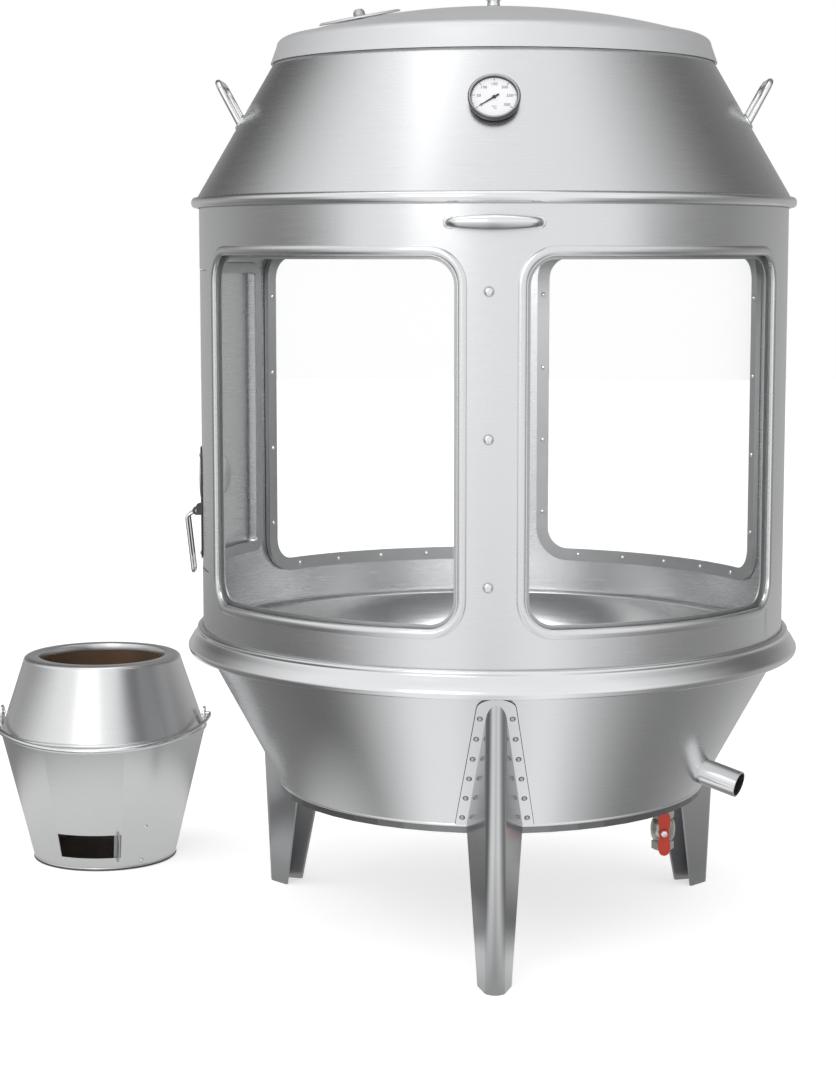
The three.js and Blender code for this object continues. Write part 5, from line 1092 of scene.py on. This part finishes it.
valve_metal = brushed_metal("valve_metal", (0.62, 0.6, 0.54), 0.24, 0.1, 700.0)
lever_red = speckled("lever_red", (0.62, 0.045, 0.02), 0.32, 0.1, 90.0, 0.08)
valve_place = shift(AXIS_X + VALVE_AXIS[0], AXIS_Y + VALVE_AXIS[1], VALVE_AXIS[2])
valve_front = valve_place @ spin(90, "X")
belly = [(8, -31), (14.5, -31), (14.5, -17)]
belly += arc(13, 0, 5.8, 17, spaced(-math.pi / 2, math.pi / 2, 12))
belly += [(14.5, 17), (14.5, 31), (10.8, 31), (10.8, 22), (8, 22)]
belly += arc(0, 0, 13.5, 13.5, (0.93, 0.6, 0.3, 0, -0.3, -0.6, -0.93))
stem_hole = turned(line_section(0, 4.5, 2, 30), 40, valve_front)
belly_mesh = cut_out(turned(belly, 64, valve_place), [stem_hole])
add_piece("valve_belly", belly_mesh, valve_metal, "oven", ["valve_body"])
for end, low in (("lower", -31), ("upper", 18)):
    hexagon = [(12, low), (16, low), (17, low + 0.9), (17, low + 12.1), (16, low + 13), (12, low + 13)]
    add_piece("valve_hexagon_" + end, turned(hexagon, 6, valve_place), valve_metal, "oven")
neck = [(4.4, 13), (9, 13), (9, 19.5), (8, 20), (8, 21.5), (4.4, 21.5)]
add_piece("valve_neck", turned(neck, 40, valve_front), valve_metal, "oven")
gland = [(4.4, 20.6), (8.4, 20.6), (9, 21.2), (9, 25.5), (8.4, 26), (4.4, 26)]
add_piece("valve_gland", turned(gland, 6, valve_front), valve_metal, "oven")
nipple = [(8, 22), (10.5, 22)]
for ridge in range(THREAD_RIDGES):
    nipple += [(10.5, 32 + ridge * 2), (9.9, 33 + ridge * 2)]
nipple += [(10.5, 58), (10.5, 83.1), (8, 83.1)]
add_piece("valve_thread", turned(nipple, 48, valve_place), valve_metal, "oven", ["valve_nipple"])
lock_nut = [(10.5, 72.4), (18.2, 72.4), (19, 73.2), (19, 79.4), (18.2, 80.2), (10.5, 80.2)]
add_piece("valve_lock_nut", turned(lock_nut, 6, valve_place), valve_metal, "oven")
dress(polished_steel, "valve_ball")
lever = []
for side in (1, -1):
    waist, wing, reach = side * -5.5, side * 11, side * 34
    lever += bezier_points((waist, 0), (-wing, reach / 2), (-wing, reach), (0, reach))
    lever += bezier_points((0, reach), (wing, reach), (wing, reach / 2), (-waist, 0))
lever_mesh = plate_mesh(lever, 3, 0.7, valve_front @ shift(0, 0, 32.5))
add_piece("butterfly_lever", lever_mesh, lever_red, "valve", ["valve_lever"])
lever_hub = [(4.3, 26.4), (8, 26.4), (8, 34.6), (7.2, 35.6), (0, 35.8), (0, 31.4), (4.3, 31.4)]
add_piece("lever_hub", turned(lever_hub, 40, valve_front), lever_red, "valve")
lever_nut = [(0, 35.6), (4.6, 35.6), (5.1, 36.2), (5.1, 36.9), (4.4, 37.0), (0, 37.0)]
add_piece("lever_nut", turned(lever_nut, 6, valve_front), polished_steel, "valve")


# Side door: a shallow folded tray in brushed steel that closes flush with the drum.
# A round hole in it takes the cup of the pull. A dull steel frame behind its edge stops it.
DOOR_GAP = 1.2
DOOR_SHEET = 1.6
PULL_AZIMUTH = -89
CUP_HEIGHT = 671
STOP_SECTION = [(-9, 426.2), (-9, 417.4), (-8, 416.4), (7, 416.4), (7, 419.4), (0, 419.4), (0, 426.2)]
cup_seat = seat_frame(DRUM_RADIUS, PULL_AZIMUTH, CUP_HEIGHT)
tray = bent_panel(DOOR_CENTRE, DOOR_SHAPE, DOOR_GAP, 420.6, 429.6)
hollow = bent_panel(DOOR_CENTRE, DOOR_SHAPE, DOOR_GAP + DOOR_SHEET, 412, 428)
cup_hole = turned(line_section(0, 40.9, -30, 20), 64, cup_seat)
add_piece("door_tray", cut_out(tray, [hollow, cup_hole]), brushed_steel, "door", ["side_door"])
stop = swept_edge(DOOR_CENTRE, DOOR_SHAPE, STOP_SECTION)
add_piece("door_stop", stop, dull_steel, "oven", ["door_frame"])


# Pull: a dark plate bent to the drum with a round finger cup pressed inwards, riveted at its corners.
# A wire drop handle hangs from two lugs below the cup.
PULL_SHAPE = (130, 550, 714, 22)
PULL_FACES = (430.3, 431.9)
PULL_RIVET_ACROSS = 53
DROP_HEIGHT = 619
DROP_CORNERS = [(26.5, 0, 8), (16.4, 0, 8), (16.4, -9, 24), (16.4, -92, 15)]
LUG_ACROSS = 24
STANDING = Matrix(((0, 0, 1, 0), (1, 0, 0, 0), (0, 1, 0, 0), (0, 0, 0, 1)))


def cup_wall(radius, depth, levels):
    return [(radius * math.sqrt(1 - (level / depth) ** 2.6), -level) for level in levels]


pull_hole = turned(line_section(0, 38.4, -30, 20), 64, cup_seat)
plate = cut_out(bent_panel(PULL_AZIMUTH, PULL_SHAPE, 0, *PULL_FACES), [pull_hole])
add_piece("pull_plate", plate, dark_steel, "door", ["door_pull"])
cup = cup_wall(40.4, 42, (0.4, 4, 9, 15, 21, 27, 32, 36, 39, 41))
cup += [(0, -42), (0, -40.4)]
cup += cup_wall(38.8, 40.4, (39.4, 37, 34, 30, 25, 19, 13, 7, 2))
cup += [(39.2, 1.9), (40.2, 1.9)]
add_piece("pull_cup", turned(cup, 72, cup_seat), dull_steel, "door")
for side, direction in (("rear", -1), ("front", 1)):
    for level, height in (("low", 560), ("high", 704)):
        seat = seat_frame(PULL_FACES[1], PULL_AZIMUTH + along_drum(direction * PULL_RIVET_ACROSS), height)
        add_piece(f"pull_rivet_{side}_{level}", rivet_mesh(seat, 3.4, 1.6), dull_steel, "door")
drop_seat = seat_frame(DRUM_RADIUS, PULL_AZIMUTH, DROP_HEIGHT)
lug = [(-6.5, 0.4), (6.5, 0.4), (6.5, 8)]
lug += arc(0, 8, 6.5, 6.5, (0.4, 0.8, 1.2, 1.57, 1.94, 2.34, 2.74)) + [(-6.5, 8)]
for side, direction in (("rear", -1), ("front", 1)):
    place = drop_seat @ shift(direction * LUG_ACROSS, 0, 0) @ STANDING
    add_piece("pull_lug_" + side, plate_mesh(lug, 5, 0.8, place), dark_steel, "door")
corners = [(-across, up, out) for across, up, out in DROP_CORNERS] + DROP_CORNERS[::-1]
drop_path = rounded_path([drop_seat @ (Vector(corner) * MM) for corner in corners], 5.2 * MM, 8)
add_piece("drop_wire", rod_mesh(drop_path, 2.6, 16), polished_steel, "door_drop", ["door_drop_handle"])


# Lift-off hinges: the drum's half carries the pin and the door's half drops over it.
# Each plate follows the drum and is held by two screws with cross slots.
HINGE_AZIMUTH = DOOR_CENTRE - along_drum(DOOR_SHAPE[0] / 2 + 7)
HINGE_HALVES = [("oven", "hinge", -32, -0.2, 20, -1), ("door", "strap", 0.2, 32, 44, 1)]
LEAF_FACES = (430.35, 432.1)
LEAF_ROWS = [(-26, 4), (-24.5, 1.2), (-22, 0), (0, 0), (22, 0), (24.5, 1.2), (26, 4)]
for level, height in (("upper", 890), ("lower", 625)):
    upright = seat_frame(437, HINGE_AZIMUTH, height) @ spin(-90, "X")
    for body, part, low, high, reach, side in HINGE_HALVES:
        barrel = [(0, low), (5.4, low), (6, low + 0.6), (6, high - 0.6), (5.4, high), (0, high)]
        barrel_mesh = turned(barrel, 40, upright)
        add_piece(f"hinge_barrel_{part}_{level}", barrel_mesh, polished_steel, body, [f"door_{part}_{level}"])
        rows = []
        for rise, inset in LEAF_ROWS:
            along = [side * max(2, (reach - inset) * share) for share in spaced(0.01, 1.01, 10)]
            turns = [HINGE_AZIMUTH + along_drum(length) for length in along]
            rows.append([[on_drum(radius, turn, height + rise) for radius in LEAF_FACES] for turn in turns])
        add_piece(f"hinge_leaf_{part}_{level}", sheet_mesh(rows), polished_steel, body)
        for end, rise in (("low", -17), ("high", 17)):
            spot = seat_frame(432, HINGE_AZIMUTH + along_drum(side * (reach - 7)), height + rise)
            add_piece(f"hinge_screw_{part}_{level}_{end}", screw_mesh(spot, 3.4, 1.5), dull_steel, body)


# Drip pan: a polished funnel that hangs by its rim on the lower ring, with a gutter and a spout.
# The middle is open so that the fire's heat comes up; fat runs down to the gutter.
pan = [
    (413, 434.3), (414, 434.9), (414, 435.9), (413, 436.4), (401.4, 436.3), (400.2, 435.6), (314.6, 316),
    (312, 312), (309, 309.2), (305, 307), (299, 306), (288, 306), (285, 307.6), (280.4, 330.6), (279, 332.6),
    (277.4, 332.6), (277, 331.4), (282, 305.4), (284.6, 304), (300, 304), (308, 304.6), (310.4, 306.4),
    (401.6, 433.2), (402.8, 434.3),
]
spout_seat = Matrix.Translation(on_drum(SPOUT_DISTANCE, PIPE_AZIMUTH, 0))
spout_hole = turned(line_section(0, 9.5, 290, 320), 40, spout_seat)
funnel = cut_out(turned(pan, ROUND_STEPS), [spout_hole])
PAN_NODES = ["drip_pan", "pan_gutter", "pan_upstand"]
add_piece("pan_funnel", funnel, polished_steel, "pan", PAN_NODES, slot="brushed_steel")
spout = line_section(9.5, 12, 288, 304.4)
add_piece("pan_spout", turned(spout, 40, spout_seat), polished_steel, "pan", slot="brushed_steel")


# Hanger: a folded bar across the drum, a headed shaft through it and the spoked ring that ducks hang from.
# The ring's two hoops are flat bar on edge, welded to four round arms.
RING_HEIGHT = 1024
HOOPS = (("inner", 190, ["hanging_ring"]), ("outer", 335, []))
HOOP_SECTION = [
    (-2.5, -5), (-1.9, -5.6), (1.9, -5.6), (2.5, -5), (2.5, 5), (1.9, 5.6), (-1.9, 5.6), (-2.5, 5),
]
dress(dull_steel, "hanger_bridge")
shaft_seat = Matrix.Translation(on_drum(0, 0, 0))
shaft = [
    (0, 1059.3), (12.6, 1059.3), (14, 1058), (14, 1052.3), (8, 1052.3), (8, 1016.7), (14, 1016.7),
    (14, 1010.6), (12.8, 1009.7), (0, 1009.7),
]
add_piece("ring_shaft", turned(shaft, 64, shaft_seat), polished_steel, "rotor", ["hanger_shaft"])
for size, radius, nodes in HOOPS:
    hoop = [(radius + across, RING_HEIGHT + up) for across, up in HOOP_SECTION]
    add_piece("ring_hoop_" + size, turned(hoop), polished_steel, "rotor", nodes)
hub = [(8.3, 1017), (24.8, 1017), (26, 1018.2), (26, 1029.8), (24.8, 1031), (8.3, 1031)]
add_piece("ring_hub", turned(hub, 64, shaft_seat), polished_steel, "rotor")
for number in range(4):
    ends = [on_drum(radius, 45 + 90 * number, RING_HEIGHT) for radius in (24, 333.5)]
    add_piece(f"ring_arm_{number}", rod_mesh(ends, 5), polished_steel, "rotor")


# Fire pot: a tapered satin bucket with an air opening low in front, standing beside the oven.
# Two folded rails inside carry the damper; their rivets show right of the opening.
POT_X = AXIS_X - 644.02
POT_Y = AXIS_Y + 336.98
POT_FOOT = 116
POT_FLARE = 52 / 214
POT_RIM = 213.85
AIR_AZIMUTHS = (-26, 21)
AIR_LEVELS = (23, 63)
RAIL_AZIMUTHS = (-29, 71)
RAIL_RIVET_AZIMUTH = 39


def pot_radius(height):
    return POT_FOOT + POT_FLARE * height


def on_pot(radius, azimuth, height):
    turn = math.radians(azimuth)
    return Vector((
        (POT_X + radius * math.sin(turn)) * MM,
        (POT_Y - radius * math.cos(turn)) * MM,
        height * MM,
    ))


def pot_patch(azimuths, heights, inner, outer):
    # A sheet that follows the bucket's wall, between two distances from it.
    rows = []
    for height in heights:
        faces = [pot_radius(height) + away for away in (inner, outer)]
        rows.append([[on_pot(radius, turn, height) for radius in faces] for turn in spaced(*azimuths, 24)])
    return sheet_mesh(rows)


def pot_wall_seat(azimuth, height):
    tip = 90 + math.degrees(math.atan(POT_FLARE))
    return pot_seat @ spin(azimuth, "Z") @ shift(0, -pot_radius(height), height) @ spin(tip, "X")


pot_seat = shift(POT_X, POT_Y, 0)
pot_satin = brushed_metal("pot_satin", (0.78, 0.785, 0.79), 0.27, 0.06, 260.0, centre=(POT_X, POT_Y))
bucket = [(0, 7), (113.6, 7), (114.2, 5), (114.2, 0.6), (114.8, 0), (115.8, 0), (116.2, 0.8)]
for level, groove in ((3, 0), (4.6, 0), (5.4, 0.6), (6.2, 0), (POT_RIM, 0)):
    bucket.append((pot_radius(level) - groove, level))
bucket += [(166, POT_RIM), (115.8, 9), (0, 9)]
air_cut = pot_patch(AIR_AZIMUTHS, AIR_LEVELS, -10, 12)
bucket_mesh = cut_out(turned(bucket, place=pot_seat), [air_cut])
add_piece("pot_wall", bucket_mesh, pot_satin, "fire_pot", ["pot_bucket"], slot="brushed_steel")
# The foot bead's dark colour paints the shadow where the bucket meets the floor.
foot_line = [(115.5, 1.2), (117.4, 1.2), (118, 2.2), (117.6, 3.4), (116.2, 4), (115.5, 3)]
add_piece("pot_foot_line", turned(foot_line, place=pot_seat), dark_steel, "fire_pot")
for level, low, high in (("lower", 15.6, 18.7), ("upper", 67.3, 70.4)):
    rail = pot_patch(RAIL_AZIMUTHS, (low, high), -7.6, -1.4)
    add_piece("damper_rail_" + level, rail, dull_steel, "fire_pot")
for level, height in (("lower", 13), ("upper", 72)):
    seat = pot_wall_seat(RAIL_RIVET_AZIMUTH, height)
    add_piece("rail_rivet_" + level, rivet_mesh(seat, 3.6, 2), polished_steel, "fire_pot")


# Cover of the fire pot: a spun satin cone that stands on the bucket's rim.
# It has a beaded foot, a round shoulder and a hemmed mouth.
CONE_LOW = 221
CONE_HIGH = 332
CONE_FLARE = 41 / 125
CONE_GAUGE = (168, 214)


def cover_radius(height):
    radius, level = CONE_GAUGE
    return radius - CONE_FLARE * (height - level)


cover = [(166, 214.15), (169.4, 214.15)]
cover += arc(169, 217.3, 2.2, 3.1, spaced(-math.pi / 2, math.pi / 2, 8))
cover += [(cover_radius(CONE_LOW), CONE_LOW), (cover_radius(CONE_HIGH), CONE_HIGH)]
cover += arc(120, CONE_HIGH, cover_radius(CONE_HIGH) - 120, 7, spaced(0, math.pi / 2, 8)[1:])
cover += [(106, 339), (104.6, 338.6), (104, 337.4), (104, 327.6), (105, 327), (106, 327.6), (106, 337)]
cover += [(120, 337)]
cover += [(cover_radius(CONE_HIGH) - 2, CONE_HIGH - 1), (cover_radius(CONE_LOW) - 2, CONE_LOW)]
cover_mesh = turned(cover, place=pot_seat)
add_piece("pot_cone", cover_mesh, pot_satin, "fire_pot", ["pot_cover"], slot="brushed_steel")


# Liner and grate: rough olive-brown fire clay that narrows to a ledge, and a cast iron grate on it.
# The clay is moulded in one piece, and the grate lies loose in it.
GRATE_BARS = 6
GRATE_RADIUS = 94
GRATE_REACH = 89.5
GRATE_LEVEL = 93.8


def rough_material(name, colour, other, metallic, roughness, scale, depth):
    # Clay and cast iron: two stained colours with lumps.
    material, tree, where = new_material(name)
    lumps = noise_node(tree, scale, 8.0, where)
    tone = blend(tree, noise_node(tree, scale / 6, 4.0, where), tinted(colour, 0.7), tinted(other, 1.3))
    rough = math_node(tree, "MULTIPLY_ADD", lumps, 0.2, roughness - 0.1)
    finish_material(tree, tone, rough, lumps, 0.5, depth * MM, metallic)
    return material


fire_clay = rough_material("fire_clay", (0.07, 0.075, 0.028), (0.17, 0.085, 0.055), 0.0, 0.9, 110.0, 1.5)
grate_iron = rough_material("grate_iron", (0.05, 0.048, 0.045), (0.07, 0.05, 0.04), 0.4, 0.7, 160.0, 0.8)
liner = [(84, 82), (133, 82), (165.4, 214), (129, 326.7), (102.5, 326.7), (104.5, 300), (109, 214)]
liner += [(107, 170), (96, 91.5), (94.5, 90), (84, 90)]
add_piece("pot_clay", turned(liner, 144, pot_seat), fire_clay, "fire_pot", ["pot_liner"])
grate_rim = [(85.5, 90.3), (93, 90.3), (94, 91.2), (94, 96.4), (93, 97.3), (85.5, 97.3)]
add_piece("grate_rim", turned(grate_rim, 96, pot_seat), grate_iron, "fire_pot", ["pot_grate"])
for number in range(GRATE_BARS):
    across = 2 * GRATE_RADIUS * (number + 0.5) / GRATE_BARS - GRATE_RADIUS
    half = math.sqrt(GRATE_REACH ** 2 - across ** 2)
    bar = [(-half, -3), (half, -3), (half, 3), (-half, 3)]
    bar_mesh = plate_mesh(bar, 7, 1, pot_seat @ shift(across, 0, GRATE_LEVEL) @ spin(90, "Z"))
    add_piece(f"grate_bar_{number}", bar_mesh, grate_iron, "fire_pot")


# Damper: a bent plate that slides in the rails behind the air opening.
# A leaf-shaped tab welded to it comes out through the opening.
TAB_AZIMUTH = 19
TAB_HEIGHT = 43
damper = pot_patch((16, 66), (19, 67), -4.63, -3.13)
add_piece("damper_sheet", damper, dull_steel, "damper", ["pot_damper"])
leaf = [(-3.9, -18), (1, -18), (1, -26.5)]
leaf += bezier_points((1, -26.5), (20, -26.5), (20, 26.5), (1, 26.5), 24)[1:]
leaf += [(1, 26.5), (1, 18), (-3.9, 18)]
leaf_place = pot_wall_seat(TAB_AZIMUTH, TAB_HEIGHT) @ spin(-90, "Y") @ shift(0, 0, 1)
add_piece("damper_tab", plate_mesh(leaf, 2, 0.5, leaf_place), dull_steel, "damper")


# Ears and bail: two riveted plates on the cone's foot, and a wire bail with a thicker grip.
# The bail hooks through the ears and rests forward on the rim.
EAR_ACROSS = 168.5
EAR_RIVET_ACROSS = 170
EAR_RIVET_HEIGHT = 226
BAIL_HEIGHT = 240
BAIL_RADIUS = 178
BAIL_FALL = 29
BAIL_HOOK = 164
BAIL_GRIP = (160, 8)
WIRE_RADIUS = 3
GRIP_SWELL = 1.5
ear = [(-13, 220.9), (13, 220.9), (13, BAIL_HEIGHT)]
ear += arc(0, BAIL_HEIGHT, 13, 12, spaced(0, math.pi, 12)[1:-1]) + [(-13, BAIL_HEIGHT)]
for name, side in SIDES:
    hole_seat = pot_seat @ shift(side * EAR_ACROSS, 0, BAIL_HEIGHT) @ spin(90, "Y")
    hole = turned(line_section(0, 4.2, -8, 8), 32, hole_seat)
    lug = plate_mesh(ear, 3, 0.5, pot_seat @ shift(side * EAR_ACROSS, 0, 0) @ STANDING)
    add_piece("pot_lug_" + name, cut_out(lug, [hole]), polished_steel, "fire_pot", ["pot_ear_" + name])
    for end, across in (("front", -8), ("rear", 8)):
        seat = pot_seat @ shift(side * EAR_RIVET_ACROSS, across, EAR_RIVET_HEIGHT) @ spin(side * 90, "Y")
        add_piece(f"pot_lug_rivet_{name}_{end}", rivet_mesh(seat, 2.6, 1.4), polished_steel, "fire_pot")
drop = math.asin(BAIL_FALL / BAIL_RADIUS)
bail = [(-BAIL_HOOK, 0, BAIL_HEIGHT)]
for turn in spaced(0, math.pi, 96):
    forward = BAIL_RADIUS * math.sin(turn)
    level = BAIL_HEIGHT - forward * math.sin(drop)
    bail.append((-BAIL_RADIUS * math.cos(turn), -forward * math.cos(drop), level))
bail.append((BAIL_HOOK, 0, BAIL_HEIGHT))
reach, passage = BAIL_GRIP
radii = [WIRE_RADIUS + GRIP_SWELL * min(1, max(0, (reach - abs(point[0])) / passage)) for point in bail]
bail_mesh = rod_mesh([pot_seat @ (Vector(point) * MM) for point in bail], radii)
add_piece("bail_wire", bail_mesh, polished_steel, "bail", ["pot_bail"])
